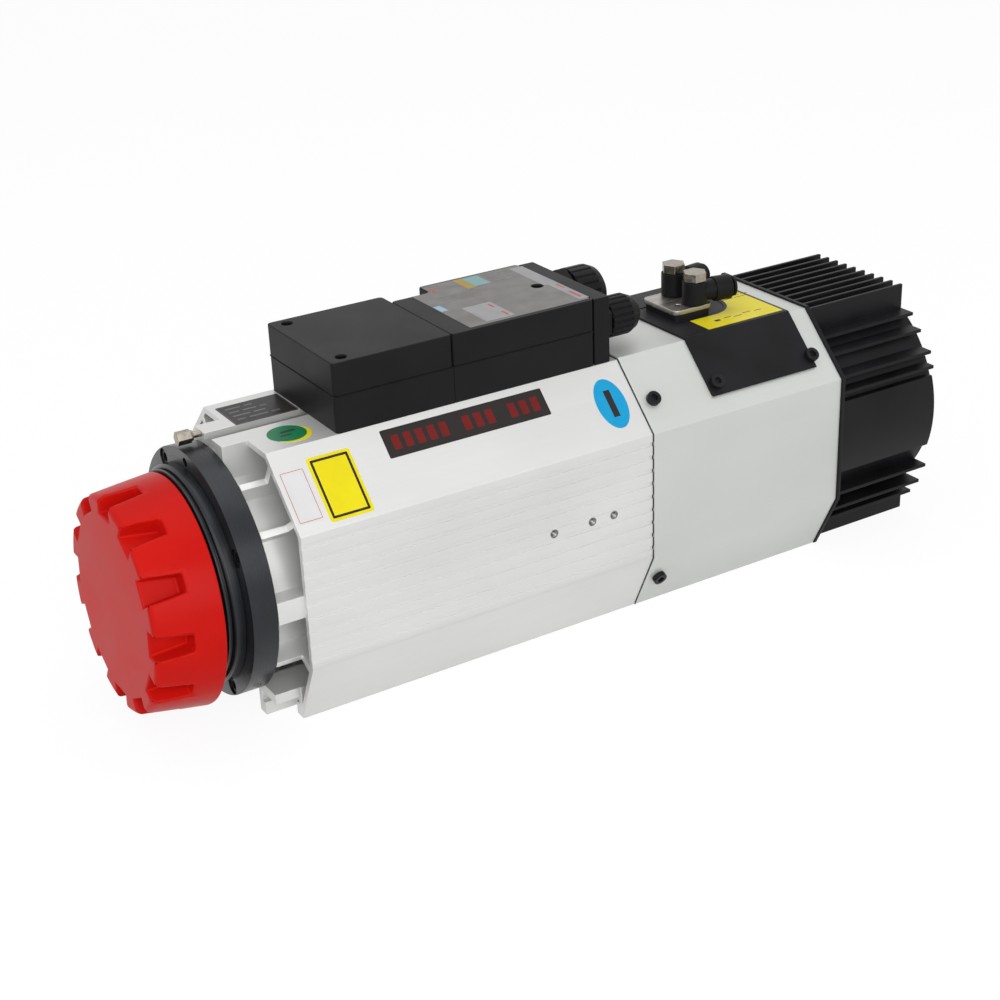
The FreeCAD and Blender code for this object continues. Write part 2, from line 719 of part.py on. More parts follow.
def bearing_cover():
    """The stepped labyrinth cover; the loose cap hangs on its front boss."""
    middle = S.boss_length
    rear = middle + S.cover_middle
    end = rear + S.cover_thick
    outline = [(0, S.nose_bore), (end, S.nose_bore), (end, S.cover_radius), (rear + 1.2, S.cover_radius),
               (rear, S.cover_radius - 1.2), (rear, S.cover_step - 1.6), (rear - 1.2, S.cover_step - 1.6),
               (rear - 1.2, S.cover_step), (middle, S.cover_step), (middle, S.cover_boss), (0, S.cover_boss)]
    return piece("bearing_cover", lathe(outline, -S.nose_length - S.flange_thick - end))


def cap_height():
    return S.axis_height - S.cap_drop


def cap_blank():
    """The cap as turned, hollow and open at the rear, with a rounded front edge."""
    wall = S.cap_wall
    well = S.cap_front_radius - S.notch_depth - wall
    deep = S.notch_length + wall
    rim = S.cap_length
    outline = [(0, 0), (0, S.cap_front_radius), (rim, S.cap_radius), (rim, S.cap_radius - wall),
               (deep, S.cap_front_radius - wall + 1), (deep, well), (wall, well), (wall, 0)]
    blank = lathe(outline, -S.cap_rear - S.cap_length, cap_height())
    DOC.recompute()
    turned = blank.Tip
    edges = ["Edge%d" % (number + 1) for number, edge in enumerate(turned.Shape.Edges) if is_front_rim(edge)]
    soften = blank.newObject("PartDesign::Fillet", "Round")
    soften.Base = (turned, edges)
    tie(soften, Radius=S.cap_round)
    return blank


def is_front_rim(edge):
    """The circle where the front face of the cap meets its side."""
    box = edge.BoundBox
    on_face = abs(box.XMin) < 0.01 and abs(box.XMax) < 0.01
    return on_face and abs(box.ZMax - float(S.cap_front_radius)) < 0.5


def cap_notch():
    """One finger notch, wider at the front and closed at the rear."""
    front = -S.cap_rear - S.cap_length - 1
    rear = front + S.notch_length + 1
    floor = cap_height() + S.cap_front_radius - S.notch_depth
    wide = S.notch_front / 2
    narrow = S.notch_rear / 2
    plan = [(front, -wide), (rear, -narrow), (rear, narrow), (front, wide)]
    return slab(plan, S.notch_depth * 3, floor)


def nose_cap():
    """The loose cap, which leans back about the lowest line of its rim's plane."""
    count = int(float(S.notch_count))
    notches = [turned_about(cap_notch(), 360.0 * turn / count, cap_height()) for turn in range(count)]
    upright = cut(cap_blank(), *notches)
    lean = math.radians(float(S.cap_tilt))
    sine, less = math.sin(lean), 1 - math.cos(lean)
    shift_x = -S.cap_rear * less - cap_height() * sine
    shift_z = cap_height() * less - S.cap_rear * sine
    turn = FreeCAD.Rotation(FreeCAD.Vector(0, 1, 0), float(S.cap_tilt))
    return piece("nose_cap", place(group(upright), shift_x, 0, shift_z, turn))


def nose_plug():
    """A hexagon plug screwed into the front end of the top rail."""
    flat_down = ALONG_X * about_z(90)
    head = hexagon(S.plug_hex, S.plug_head, -S.plug_front, S.plug_y, S.plug_z, flat_down)
    neck_length = S.plug_front - S.plug_head - S.nose_length
    collar = rod(S.plug_hex * 0.42, 1.2, -S.plug_front + S.plug_head, S.plug_y, S.plug_z)
    thread = rod(S.screw_shank * 0.75, neck_length, -S.plug_front + S.plug_head, S.plug_y, S.plug_z)
    return piece("nose_plug", fuse(head, collar, thread))


# Spindle shaft and what turns with it

def shaft():
    face = S.nose_face
    outline = [
        (0, S.gauge_radius), (0, S.nose_radius), (face - 24, S.nose_radius), (face - 24, 24),
        (face + S.bearing_front, 24), (face + S.bearing_front, S.bearing_bore),
        (face + 40, S.bearing_bore), (face + 40, S.rotor_seat),
        (face + S.rear_bearing - 10, S.rotor_seat), (face + S.rear_bearing - 10, S.rear_seat + 3),
        (face + S.rear_bearing, S.rear_seat + 3), (face + S.rear_bearing, S.rear_seat),
        (face + S.shaft_end, S.rear_seat), (face + S.shaft_end, S.spring_bore),
        (face + S.spring_front, S.spring_bore), (face + S.spring_front, S.bore_radius),
        (face - 3, S.bore_radius), (face - 13, S.chamber_radius), (face - 18, S.chamber_radius),
        (S.taper_length, S.gauge_radius - S.taper_length * 7 / 48)]
    return piece("spindle_shaft", lathe(outline, -S.nose_face))


def drive_keys():
    inner = S.nose_radius - S.key_length
    key = middle_block(S.key_height, S.key_width, S.key_length - 0.5, -S.nose_face - S.key_height,
                       0, S.axis_height + inner)
    return piece("drive_keys", group(*around_axis(key, 2, 0)))


def bearing_set(name, bore, outer, width, x, count):
    """Outer and inner rings of equal bearings side by side, as two nodes."""
    middle = (bore + outer) / 2
    outers = [ring(outer, middle + S.bearing_ring, width, x + width * turn) for turn in range(count)]
    inners = [ring(middle - S.bearing_ring, bore, width, x + width * turn) for turn in range(count)]
    piece(name + "_outer", group(*outers))
    piece(name + "_inner", group(*inners))


def bearings():
    bearing_set("front_bearing", S.bearing_bore, S.bearing_outer, S.bearing_width, S.bearing_front, 2)
    bearing_set("rear_bearing", S.rear_seat, S.rear_bearing_outer, S.rear_bearing_width, S.rear_bearing, 1)


def lock_nut():
    rear = S.bearing_front + S.bearing_width * 2
    nut = ring(S.nut_radius, S.bearing_bore, S.nut_width, rear)
    notch = middle_block(S.nut_width + 2, 5, 6, rear - 1, 0, S.axis_height + S.nut_radius - 2.5)
    return piece("bearing_lock_nut", cut(nut, *around_axis(notch, 4)))


def bearing_retainer():
    """The ring screwed to the spigot that keeps the front bearings in their seat."""
    rear = -S.nose_length + S.spigot_length
    return piece("bearing_retainer", ring(S.tube_bore - 6, S.nut_radius + 2.2, 5, rear))


def rotor():
    core = ring(S.rotor_radius, S.rotor_seat, S.stack_length, S.rotor_front)
    piece("rotor_core", core)
    reach = S.winding_reach / 2
    rings = [ring(S.rotor_radius - 0.5, S.rotor_seat, reach, S.rotor_front - reach),
             ring(S.rotor_radius - 0.5, S.rotor_seat, reach, S.rotor_front + S.stack_length)]
    return piece("rotor_end_rings", group(*rings))


def stator():
    bore = S.rotor_radius + S.air_gap
    core = ring(S.tube_bore, bore, S.stack_length, S.rotor_front)
    slot = middle_block(S.stack_length + 2, 4, 13, S.rotor_front - 1, 0, S.axis_height + bore + 2)
    count = int(float(S.stator_slots))
    piece("stator_core", cut(core, *around_axis(slot, count)))
    bar_shape = middle_block(S.stack_length, 3.9, 12.9, S.rotor_front, 0, S.axis_height + bore + 2.05)
    ends = [winding_end(S.rotor_front - S.winding_reach), winding_end(S.rotor_front + S.stack_length)]
    return piece("stator_windings", fuse(*(around_axis(bar_shape, count) + ends)))


def winding_end(x):
    inner = S.rotor_radius + 3
    outer = S.tube_bore - 5
    reach = S.winding_reach
    return lathe([(0, inner + 3), (3, inner), (reach - 3, inner), (reach, inner + 3), (reach, outer - 3),
                  (reach - 3, outer), (3, outer), (0, outer - 3)], x)


def rear_shield():
    """The disc that carries the rear bearing and closes the motor."""
    front = S.rear_bearing - 2
    depth = S.skin_length - front
    outline = [(0, S.rear_bearing_outer), (S.rear_bearing_width + 2, S.rear_bearing_outer),
               (S.rear_bearing_width + 2, S.rear_seat + 2), (depth, S.rear_seat + 2), (depth, S.tube_bore),
               (8, S.tube_bore), (8, S.rear_bearing_outer + 8), (0, S.rear_bearing_outer + 8)]
    return piece("rear_bearing_shield", lathe(outline, front))


# Tool clamping

def drawbar():
    front = 6
    start = S.collar_front - front
    outline = [(0, 0), (0, S.stub_radius), (14, S.stub_radius), (14, S.rod_radius),
               (start, S.rod_radius), (start, S.spring_bore - S.running_gap),
               (S.collar_front + S.collar_width - front, S.spring_bore - S.running_gap),
               (S.collar_front + S.collar_width - front, S.push_radius),
               (S.drawbar_end - front, S.push_radius), (S.drawbar_end - front, 0)]
    return piece("drawbar", lathe(outline, front))


def disc_springs():
    """The stack of coned discs between the shaft shoulder and the drawbar collar."""
    pairs = int(float(S.spring_pairs))
    pitch = (S.collar_front - S.spring_front) / pairs
    outer = S.spring_bore - 0.4
    inner = S.rod_radius + 0.5
    discs = [disc_pair(S.spring_front + pitch * turn, pitch, inner, outer) for turn in range(pairs)]
    return piece("disc_springs", group(*discs))


def disc_pair(x, pitch, inner, outer):
    """Two coned packs that meet at their rims."""
    half = pitch / 2
    thick = pitch * 0.36
    return lathe([(0, inner), (thick, inner), (half, outer - 1.5), (pitch - thick, inner), (pitch, inner),
                  (half + thick / 2, outer), (half - thick / 2, outer)], x)


def claw_blank():
    tip = S.claw_tip
    outline = [(0, S.claw_hook), (0, S.claw_outer), (5.5, S.claw_outer), (7, S.claw_neck),
               (S.claw_root - tip, S.claw_neck), (S.claw_root - tip, S.claw_inner),
               (4.5, S.claw_inner), (3, S.claw_hook)]
    return lathe(outline, tip)


def claws():
    """Four gripper claws, each a sector of one turned ring."""
    length = S.claw_root - S.claw_tip
    for turn in range(4):
        slot = fuse(middle_block(length + 2, 40, 2.4, S.claw_tip - 1, 0, S.axis_height - 1.2),
                    middle_block(length + 2, 2.4, 40, S.claw_tip - 1, 0, S.axis_height - 20))
        keep = block(length + 2, 30, 30, S.claw_tip - 1, 0, S.axis_height)
        sector = common(cut(claw_blank(), slot), turned_about_axis(keep, 90.0 * turn))
        piece("gripper_claw_%d" % (turn + 1), sector)


def air_cylinder():
    end = S.cylinder_length
    outline = [(0, S.piston_rod + S.running_gap), (S.cylinder_cap, S.piston_rod + S.running_gap),
               (S.cylinder_cap, S.cylinder_bore), (end, S.cylinder_bore), (end, S.cylinder_outer),
               (0, S.cylinder_outer)]
    piece("cylinder_body", lathe(outline, S.cylinder_front))
    rim = S.cylinder_front + S.cylinder_length - S.cylinder_cap
    piece("cylinder_lid", lathe([(0, 0), (S.cylinder_cap + 4, 0), (S.cylinder_cap + 4, S.cylinder_outer),
                                 (S.cylinder_cap, S.cylinder_outer), (S.cylinder_cap, S.cylinder_bore),
                                 (0, S.cylinder_bore)], rim))


def piston():
    front = S.drawbar_end + S.piston_gap
    disc = S.piston_front - front
    rim = S.cylinder_bore - S.running_gap
    middle = disc + S.piston_thick / 2
    outline = [(0, 0), (0, S.piston_rod), (disc, S.piston_rod), (disc, rim), (middle - 2, rim),
               (middle - 2, rim - 3), (middle + 2, rim - 3), (middle + 2, rim),
               (disc + S.piston_thick, rim), (disc + S.piston_thick, 0)]
    piece("piston", lathe(outline, front))
    piece("piston_seal", ring(rim, rim - 3, 4, S.piston_front + S.piston_thick / 2 - 2))


# Cooling

def shroud_plate():
    plate = bar(housing_outline(S.rear_step + S.plate_step), S.plate_thick, S.skin_length + S.rear_length)
    hole = axis_rod(S.shroud_inner, S.plate_thick + 2, S.skin_length + S.rear_length - 1)
    return piece("shroud_plate", cut(plate, hole))


def top_fins(front):
    count = int(float(S.fin_count))
    height = S.fin_top - S.axis_height
    places = [S.fin_pitch * (turn - (count - 1) / 2) for turn in range(count)]
    return [middle_block(S.shroud_length, S.fin_thick, height, front, y, S.axis_height) for y in places]


def side_fins(front):
    """Flat fins on one side, from the tube out to the eight-sided outline."""
    found = []
    for reach, height in SIDE_FINS:
        found.append(block(S.shroud_length, reach - S.fin_root, S.fin_thick, front, S.fin_root,
                           height - S.fin_thick / 2))
    foot_y = S.bottom_half - S.shroud_foot_in
    foot = block(S.shroud_length, S.fin_thick * 2, S.axis_height / 2, front, foot_y, 0)
    return found + [foot]


def fan_shroud():
    front = S.skin_length + S.rear_length + S.plate_thick
    tube = axis_rod(S.shroud_outer, S.shroud_length, front)
    band = block(S.shroud_length, S.half_width * 2.2, S.shroud_side_half * 2, front, -S.half_width * 1.1,
                 S.axis_height - S.shroud_side_half)
    sides = common(axis_rod(S.shroud_side, S.shroud_length, front), band)
    fins = top_fins(front) + [shape for fin in side_fins(front) for shape in both_sides(fin)]
    bore = axis_rod(S.shroud_inner, S.shroud_length + 2, front - 1)
    return piece("fan_shroud", cut(fuse(tube, sides, *fins), bore))


def fan_blade():
    """One twisted blade, cut from a slanted slab by the sweep of the fan."""
    reach = S.fan_tip - S.fan_hub + 3
    slab_shape = block(S.fan_width * 1.5, S.blade_thick, reach + S.blade_spare, 0, 0, 0)
    turn = about_z(float(S.fan_pitch))
    shift = S.fan_width * 0.75 * math.cos(math.radians(float(S.fan_pitch)))
    drop = S.fan_width * 0.75 * math.sin(math.radians(float(S.fan_pitch)))
    middle = S.fan_front + S.fan_width / 2
    return place(slab_shape, middle - shift, -drop, S.axis_height + S.fan_hub - 3, turn)


def fan():
    sweep = axis_rod(S.fan_tip, S.fan_width, S.fan_front)
    blades = common(fuse(*around_axis(fan_blade(), int(float(S.fan_blades)))), sweep)
    cup = lathe([(0, 0), (0, S.fan_hub - 3), (3, S.fan_hub), (S.fan_width, S.fan_hub),
                 (S.fan_width, S.fan_motor_radius + 1), (4, S.fan_motor_radius + 1), (4, 0)], S.fan_front)
    cavity = axis_rod(S.fan_motor_radius + 1, S.fan_width + 2, S.fan_front + 4)
    piece("fan_impeller", fuse(cup, cut(blades, cavity)))
    rear = S.fan_front + S.fan_width
    motor = lathe([(0, 0), (0, S.fan_motor_radius), (S.fan_width, S.fan_motor_radius), (S.fan_width, 0)],
                  S.fan_front + 5)
    piece("fan_motor", motor)
    arm = middle_block(5, S.arm_width, S.shroud_inner - S.fan_motor_radius + 3, rear + 4, 0,
                       S.axis_height + S.fan_motor_radius - 3)
    hub = ring(S.fan_motor_radius + 5, S.fan_motor_radius, 6, rear + 3)
    keep = axis_rod(S.shroud_inner, 20, rear)
    hollow = axis_rod(S.fan_motor_radius, 20, rear)
    piece("fan_bracket", fuse(hub, cut(common(fuse(*around_axis(arm, 4, 45)), keep), hollow)))


def fan_guard():
    end = S.skin_length + S.rear_length + S.plate_thick + S.shroud_length
    wire = S.guard_wire
    count = int(float(S.guard_rings))
    pitch = (S.shroud_inner + 2 - 14) / (count - 1)
    hoops = []
    for turn in range(count):
        hoop = DOC.addObject("Part::Torus", "Hoop")
        tie(hoop, Radius1=pitch * turn + 14, Radius2=wire)
        hoops.append(place(hoop, end + wire, 0, S.axis_height, ALONG_X))
    spoke = rod(wire, S.shroud_inner + 2 - 14, end + wire, 0, S.axis_height + 14, UPRIGHT)
    spokes = around_axis(spoke, 4, 45)
    disc = axis_rod(15, 2, end + wire - 1)
    return piece("fan_guard", fuse(disc, *(hoops + spokes)))


# Terminal box

def tub(outline, inside, z, height, opening):
    """A moulded half box with rounded upright edges, open on one side."""
    body = DOC.addObject("PartDesign::Body", "Moulded")
    pad = body.newObject("PartDesign::Pad", "Extrude")
    pad.Profile = draw(body, "XY_Plane", outline)
    tie(pad, Length=height)
    DOC.recompute()
    edges = ["Edge%d" % (number + 1) for number, edge in enumerate(pad.Shape.Edges) if stands_up(edge)]
    soften = body.newObject("PartDesign::Fillet", "Round")
    soften.Base = (pad, edges)
    tie(soften, Radius=S.box_round)
    place(body, 0, 0, z)
    low = z - 1 if opening == "below" else z + S.box_wall
    return cut(body, slab(inside, height - S.box_wall + 1, low))


def box_outline(start, end, wall=0):
    """The plan of the terminal box between two places along it, set in by a wall.

    Behind the joint the far side is drawn in, and behind that it stands out to the gland plate.
    """
    near = wall - S.box_half
    far = S.box_half - wall
    recess = far - S.box_step_depth
    flare = far + S.box_flare
    step_end = S.box_joint + S.box_step_length + wall
    plan = [(start + wall, near), (end - wall, near)]
    if float(end) <= float(S.box_joint):
        return plan + [(end - wall, far), (start + wall, far)]
    plan += [(end - wall, flare), (step_end, flare), (step_end, recess)]
    if float(start) < float(S.box_joint):
        return plan + [(S.box_joint - wall, recess), (S.box_joint - wall, far), (start + wall, far)]
    return plan + [(start + wall, recess)]


def stands_up(edge):
    first, last = edge.Vertexes[0].Point, edge.Vertexes[-1].Point
    return abs(first.x - last.x) < 0.01 and abs(first.y - last.y) < 0.01


def front_lid_screws():
    return [(S.lid_screw_x, -S.lid_screw_y), (S.lid_screw_x, S.lid_screw_y)]


def rear_lid_screws():
    return [(S.rear_screw_x, 0), (S.side_screw_x, S.side_screw_y)]


def cable_window():
    """The window in the rear end of the box, behind the gland plate."""
    wall = S.box_wall
    height = S.box_top - S.top_height - wall * 2
    start = S.box_plate_front - wall - 1
    return middle_block(wall + 2, S.cable_window * 2, height, start, 0, S.top_height + wall)


def joint_groove():
    """The shallow grooves in the sides of the base that carry the lid joint down."""
    deep = S.joint_groove
    start = S.box_joint - deep / 2
    height = S.box_split - S.top_height + 2
    return [block(deep, deep * 2, height, start, y, S.top_height - 1)
            for y in (-S.box_half - deep, S.box_half - deep)]


def terminal_box():
    base_height = S.box_split - S.top_height
    lid_height = S.box_top - S.box_split - S.gasket_thick
    lid_low = S.box_split + S.gasket_thick
    wall = S.box_wall
    base = tub(box_outline(S.box_front, S.box_plate_front), box_outline(S.box_front, S.box_plate_front, wall),
               S.top_height, base_height, "above")
    screws = front_lid_screws() + rear_lid_screws()
    open_base = cut(base, cable_window(), *joint_groove())
    piece("terminal_box_base", fuse(open_base, *[screw_post(x, y) for x, y in screws]))
    front = tub(box_outline(S.box_front, S.box_joint), box_outline(S.box_front, S.box_joint, wall),
                lid_low, lid_height, "below")
    rear = tub(box_outline(S.box_joint, S.box_plate_front), box_outline(S.box_joint, S.box_plate_front, wall),
               lid_low, lid_height, "below")
    piece("terminal_lid_front", cut(front, *[lid_hole(x, y) for x, y in front_lid_screws()]))
    piece("terminal_lid_rear", cut(rear, cable_window(), *[lid_hole(x, y) for x, y in rear_lid_screws()]))
    piece("box_gasket", box_gasket())
    piece("box_screws", group(*[box_screw(x, y) for x, y in screws]))


def lid_hole(x, y):
    return rod(3.1, 8, x, y, S.box_top - 5, UPRIGHT)


def screw_post(x, y):
    return rod(4, S.box_split - S.top_height - 1, x, y, S.top_height + 1, UPRIGHT)


def box_screw(x, y):
    """A screw head at the bottom of its recess in the lid."""
    return rod(2.9, 2, x, y, S.box_top - 4.9, UPRIGHT)


def box_gasket():
    outer = slab(box_outline(S.box_front, S.box_plate_front, S.gasket_inset), S.gasket_thick, S.box_split)
    inner = slab(box_outline(S.box_front, S.box_plate_front, S.box_wall), 3, S.box_split - 1)
    return cut(outer, inner, cable_window())


def gland_plate():
    thick = S.box_plate_end - S.box_plate_front
    height = S.box_top - S.top_height
    plate = middle_block(thick, S.box_half * 2, height, S.box_plate_front, 0, S.top_height)
    start = S.box_plate_front - 1
    bores = [rod(S.small_gland_radius - 4, thick + 2, start, S.small_gland_y, S.small_gland_z),
             rod(S.large_gland_radius - 4, thick + 2, start, S.large_gland_y, S.large_gland_z)]
    return piece("gland_plate", cut(plate, *bores))


def gland(name, y, z, radius, bore):
    """A cable gland: threaded body with a hexagon, soft seal and domed clamping nut."""
    plate_end = S.box_plate_end
    thick = S.box_plate_end - S.box_plate_front
    neck = radius - 4
    body = fuse(rod(neck, thick + S.gland_hex, S.box_plate_front, y, z),
                hexagon(radius * 1.85, S.gland_hex, plate_end, y, z),
                rod(neck, 10, plate_end + S.gland_hex, y, z))
    piece(name + "_body", cut(body, rod(bore + 1.5, thick + 60, S.box_plate_front - 1, y, z)))
    nut_front = plate_end + S.gland_hex + 1
    nut = lathe([(0, neck), (9, neck), (9, bore + 1.5), (S.gland_nut, bore), (S.gland_nut, bore + 2.5),
                 (S.gland_nut - 3, radius - 2.2), (S.gland_nut - S.dome_length, radius), (0, radius)],
                nut_front, z, y)
    piece(name + "_nut", cut(nut, *rib_grooves(nut_front, y, z, radius)))
    piece(name + "_seal", lathe([(0, bore), (8, bore), (8, bore + 1.5), (0, bore + 1.5)],
                                plate_end + S.gland_hex + 1, z, y))


def rib_grooves(x, y, z, radius):
    """Grooves along the straight part of a gland nut."""
    count = int(float(S.gland_ribs))
    length = S.gland_nut - S.dome_length + 1
    found = []
    for turn in range(count):
        angle = 2 * math.pi * turn / count
        across = y + radius * math.cos(angle)
        found.append(rod(S.rib_groove, length, x - 1, across, z + radius * math.sin(angle)))
    return found


def terminal_block():
    x = S.box_front + 22
    base = middle_block(60, 24, 12, x, 0, S.top_height + S.box_wall)
    gaps = [middle_block(1.5, 26, 8, x + 9 * turn + 8, 0, S.top_height + S.box_wall + 6)
            for turn in range(6)]
    return piece("terminal_block", cut(base, *gaps))


# Air connection

def sheet_outline(lift):
    """The bent sheet over the top and upper slopes, as its half outline at one lift."""
    step = S.rear_step + lift
    share = math.tan(math.radians(22.5))
    top = S.top_height + step
    y_edge = S.top_height - S.sheet_low + S.top_half + step * math.sqrt(2)
    return [(y_edge, S.sheet_low), (S.top_half + step * share, top)]


def top_sheet():
    outer = sheet_outline(S.sheet_thick)
    inner = sheet_outline(0)
    outline = outer + [(-across, up) for across, up in reversed(outer)]
    outline += [(-across, up) for across, up in inner] + list(reversed(inner))
    sheet = bar(outline, S.sheet_length, S.sheet_front)
    window = window_shape(S.sheet_slot, 10, S.window_front, S.top_height - 2)
    holes = [screw_hole(spot) for spot in sheet_screw_spots()]
    return piece("top_sheet", cut(sheet, window, *holes))


def window_shape(half, thick, x, z):
    """A flat shape with a straight front end and a round rear end."""
    return fuse(middle_block(S.window_length, half * 2, thick, x, 0, z),
                rod(half, thick, x + S.window_length, 0, z, UPRIGHT))


def rounded_plate(size_x, half, thick, x, z, radius):
    """A flat plate with rounded corners."""
    return fuse(middle_block(size_x, half * 2 - radius * 2, thick, x, 0, z),
                middle_block(size_x - radius * 2, half * 2, thick, x + radius, 0, z),
                *[rod(radius, thick, cx, cy, z, UPRIGHT) for cx in (x + radius, x + size_x - radius)
                  for cy in (half - radius, radius - half)])


def air_block():
    """The block under the fittings; its foot fills the window of the sheet."""
    base = S.top_height + S.rear_step
    height = S.block_top - base
    foot = window_shape(S.sheet_slot - S.window_gap, S.foot_thick, S.window_front + S.window_gap, base)
    upper = rounded_plate(S.block_length - 2, S.block_half - 1, height, S.block_front + 1, base, 3)
    piece("air_block", fuse(foot, upper))
    plate = rounded_plate(S.block_length, S.block_half, S.fitting_plate, S.block_front, S.block_top, 4)
    hole = rod(1.9, 8, S.block_front + 9, -7.4, S.block_top - 1, UPRIGHT)
    piece("fitting_plate", cut(plate, hole))


def banjo(name, y, angle):
    """A banjo elbow with its bolt and push-in release collar."""
    base = S.block_top + S.fitting_plate
    seat = base + 0.3
    middle = seat + S.banjo_height / 2
    turn = about_z(angle) * ALONG_X
    reach = math.cos(math.radians(angle))
    drift = math.sin(math.radians(angle))
    hub = rod(S.banjo_radius, S.banjo_height, S.banjo_x, y, seat, UPRIGHT)
    slim = rod(S.arm_radius, S.arm_length, S.banjo_x, y, middle, turn)
    sleeve_start = S.arm_length - S.sleeve_length
    sleeve = rod(S.sleeve_radius, S.sleeve_length, S.banjo_x + sleeve_start * reach, y + sleeve_start * drift,
                 middle, turn)
    bolt_hole = rod(4.1, S.banjo_height + 4, S.banjo_x, y, seat - 1, UPRIGHT)
    mouth_start = S.arm_length - 11
    mouth = rod(4.4, 20, S.banjo_x + mouth_start * reach, y + mouth_start * drift, middle, turn)
    piece(name + "_elbow", cut(fuse(hub, slim, sleeve), bolt_hole, mouth))
    collar_start = S.arm_length - 9
    collar = cut(fuse(rod(4.1, 9, S.banjo_x + collar_start * reach, y + collar_start * drift, middle, turn),
                      rod(S.collar_radius, 1.6, S.banjo_x + (S.arm_length + 1.5) * reach,
                          y + (S.arm_length + 1.5) * drift, middle, turn),
                      rod(4.1, 3, S.banjo_x + (S.arm_length - 0.5) * reach,
                          y + (S.arm_length - 0.5) * drift, middle, turn)),
                 rod(S.tube_radius, 30, S.banjo_x + (collar_start - 5) * reach,
                     y + (collar_start - 5) * drift, middle, turn))
    piece(name + "_collar", collar)
    top = seat + S.banjo_height + 0.3
    bolt = fuse(hexagon(S.banjo_hex, S.banjo_head, S.banjo_x, y, top, UPRIGHT),
                rod(4, top - base, S.banjo_x, y, base, UPRIGHT))
    piece(name + "_bolt", bolt)


def build():
    motor_housing()
    rear_housing()
    front_flange()
    flange_screws()
    bearing_cover()
    nose_cap()
    nose_plug()
    shaft()
    drive_keys()
    bearings()
    lock_nut()
    bearing_retainer()
    rotor()
    stator()
    rear_shield()
    drawbar()
    disc_springs()
    claws()
    air_cylinder()
    piston()
    shroud_plate()
    fan_shroud()
    fan()
    fan_guard()
    terminal_box()
    gland_plate()
    gland("small_gland", S.small_gland_y, S.small_gland_z, S.small_gland_radius, S.small_gland_bore)
    gland("large_gland", S.large_gland_y, S.large_gland_z, S.large_gland_radius, S.large_gland_bore)
    terminal_block()
    top_sheet()
    air_block()
    banjo("near", -S.banjo_y, float(S.near_arm_angle))
    banjo("far", S.banjo_y, float(S.far_arm_angle))
    screw_set("housing_screws", housing_screw_spots())
    screw_set("sheet_screws", sheet_screw_spots())


def check_and_write():
    DOC.recompute()
    for obj in DOC.Objects:
        if "Invalid" in obj.State or "Error" in obj.State:
            raise RuntimeError("%s (%s) failed: %s" % (obj.Name, obj.Label, obj.State))
    os.makedirs("parts", exist_ok=True)
    for obj in PIECES:
        shape = obj.Shape
        if shape.isNull() or not shape.isValid() or not shape.Solids:
            raise RuntimeError("%s has no valid solid" % obj.Label)
        shape.exportStep("parts/%s.step" % obj.Label)
        print(obj.Label, len(shape.Solids), round(shape.Volume))


fill_sheet()
build()
check_and_write()
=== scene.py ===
import json
import math

import bmesh
import bpy
from mathutils import Matrix, Vector


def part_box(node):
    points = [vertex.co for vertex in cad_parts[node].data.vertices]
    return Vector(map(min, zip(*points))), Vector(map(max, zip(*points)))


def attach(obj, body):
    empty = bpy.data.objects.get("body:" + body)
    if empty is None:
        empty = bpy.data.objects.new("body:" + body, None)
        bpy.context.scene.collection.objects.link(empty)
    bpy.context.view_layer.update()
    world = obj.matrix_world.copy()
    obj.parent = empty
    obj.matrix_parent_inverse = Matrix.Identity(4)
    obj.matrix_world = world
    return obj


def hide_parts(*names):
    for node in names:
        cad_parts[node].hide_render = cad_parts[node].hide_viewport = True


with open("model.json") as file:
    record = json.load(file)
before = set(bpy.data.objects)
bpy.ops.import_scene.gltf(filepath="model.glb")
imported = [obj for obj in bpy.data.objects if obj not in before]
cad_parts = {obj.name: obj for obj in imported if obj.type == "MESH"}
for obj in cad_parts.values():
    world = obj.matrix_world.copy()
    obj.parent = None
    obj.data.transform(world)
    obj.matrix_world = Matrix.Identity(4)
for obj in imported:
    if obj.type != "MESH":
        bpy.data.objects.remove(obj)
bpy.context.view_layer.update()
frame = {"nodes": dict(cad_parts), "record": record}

MM = 0.001
SLOT_OF = {row["node"]: row["material_slot"] for row in frame["record"]["subparts"]}
BODY_OF = {}
for body_name, body_nodes in frame["record"]["behaviour"]["bodies"].items():
    for body_node in body_nodes:
        BODY_OF[body_node] = body_name

# Places on the machine, read from the frame

AXIS_HEIGHT = (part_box("front_flange")[0].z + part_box("front_flange")[1].z) / 2
HALF_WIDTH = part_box("motor_housing")[1].y
TOP_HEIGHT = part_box("motor_housing")[1].z
SKIN_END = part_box("motor_housing")[1].x
TOP_HALF = 40 * MM  # half width of the flat on top
SHEET_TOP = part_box("top_sheet")[1].z
BOX_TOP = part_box("terminal_lid_front")[1].z

# Measures of the way the pieces are made

LABEL_LIFT = 0.12 * MM  # thickness of a label
PRINT_LIFT = LABEL_LIFT * 1.2  # print on a label
BORDER_LIFT = LABEL_LIFT * 1.3  # a line round a label
MARK_LIFT = LABEL_LIFT * 1.4  # print on a printed patch
SAME_POINT = 0.005 * MM  # points closer than this are merged
SAME_LEVEL = 0.05 * MM  # a face within this of a level lies on it
FACING = 0.99  # how squarely such a face looks the right way


# Materials

FINISHES = {}


def new_finish(name, colour, roughness, metallic=0.0):
    """A material with its main sockets set; returns it with its node tree and shader."""
    material = bpy.data.materials.new(name)
    FINISHES[name] = material
    material.use_nodes = True
    shader = material.node_tree.nodes["Principled BSDF"]
    shader.inputs["Base Color"].default_value = (*colour, 1)
    shader.inputs["Roughness"].default_value = roughness
    shader.inputs["Metallic"].default_value = metallic
    return material, material.node_tree, shader


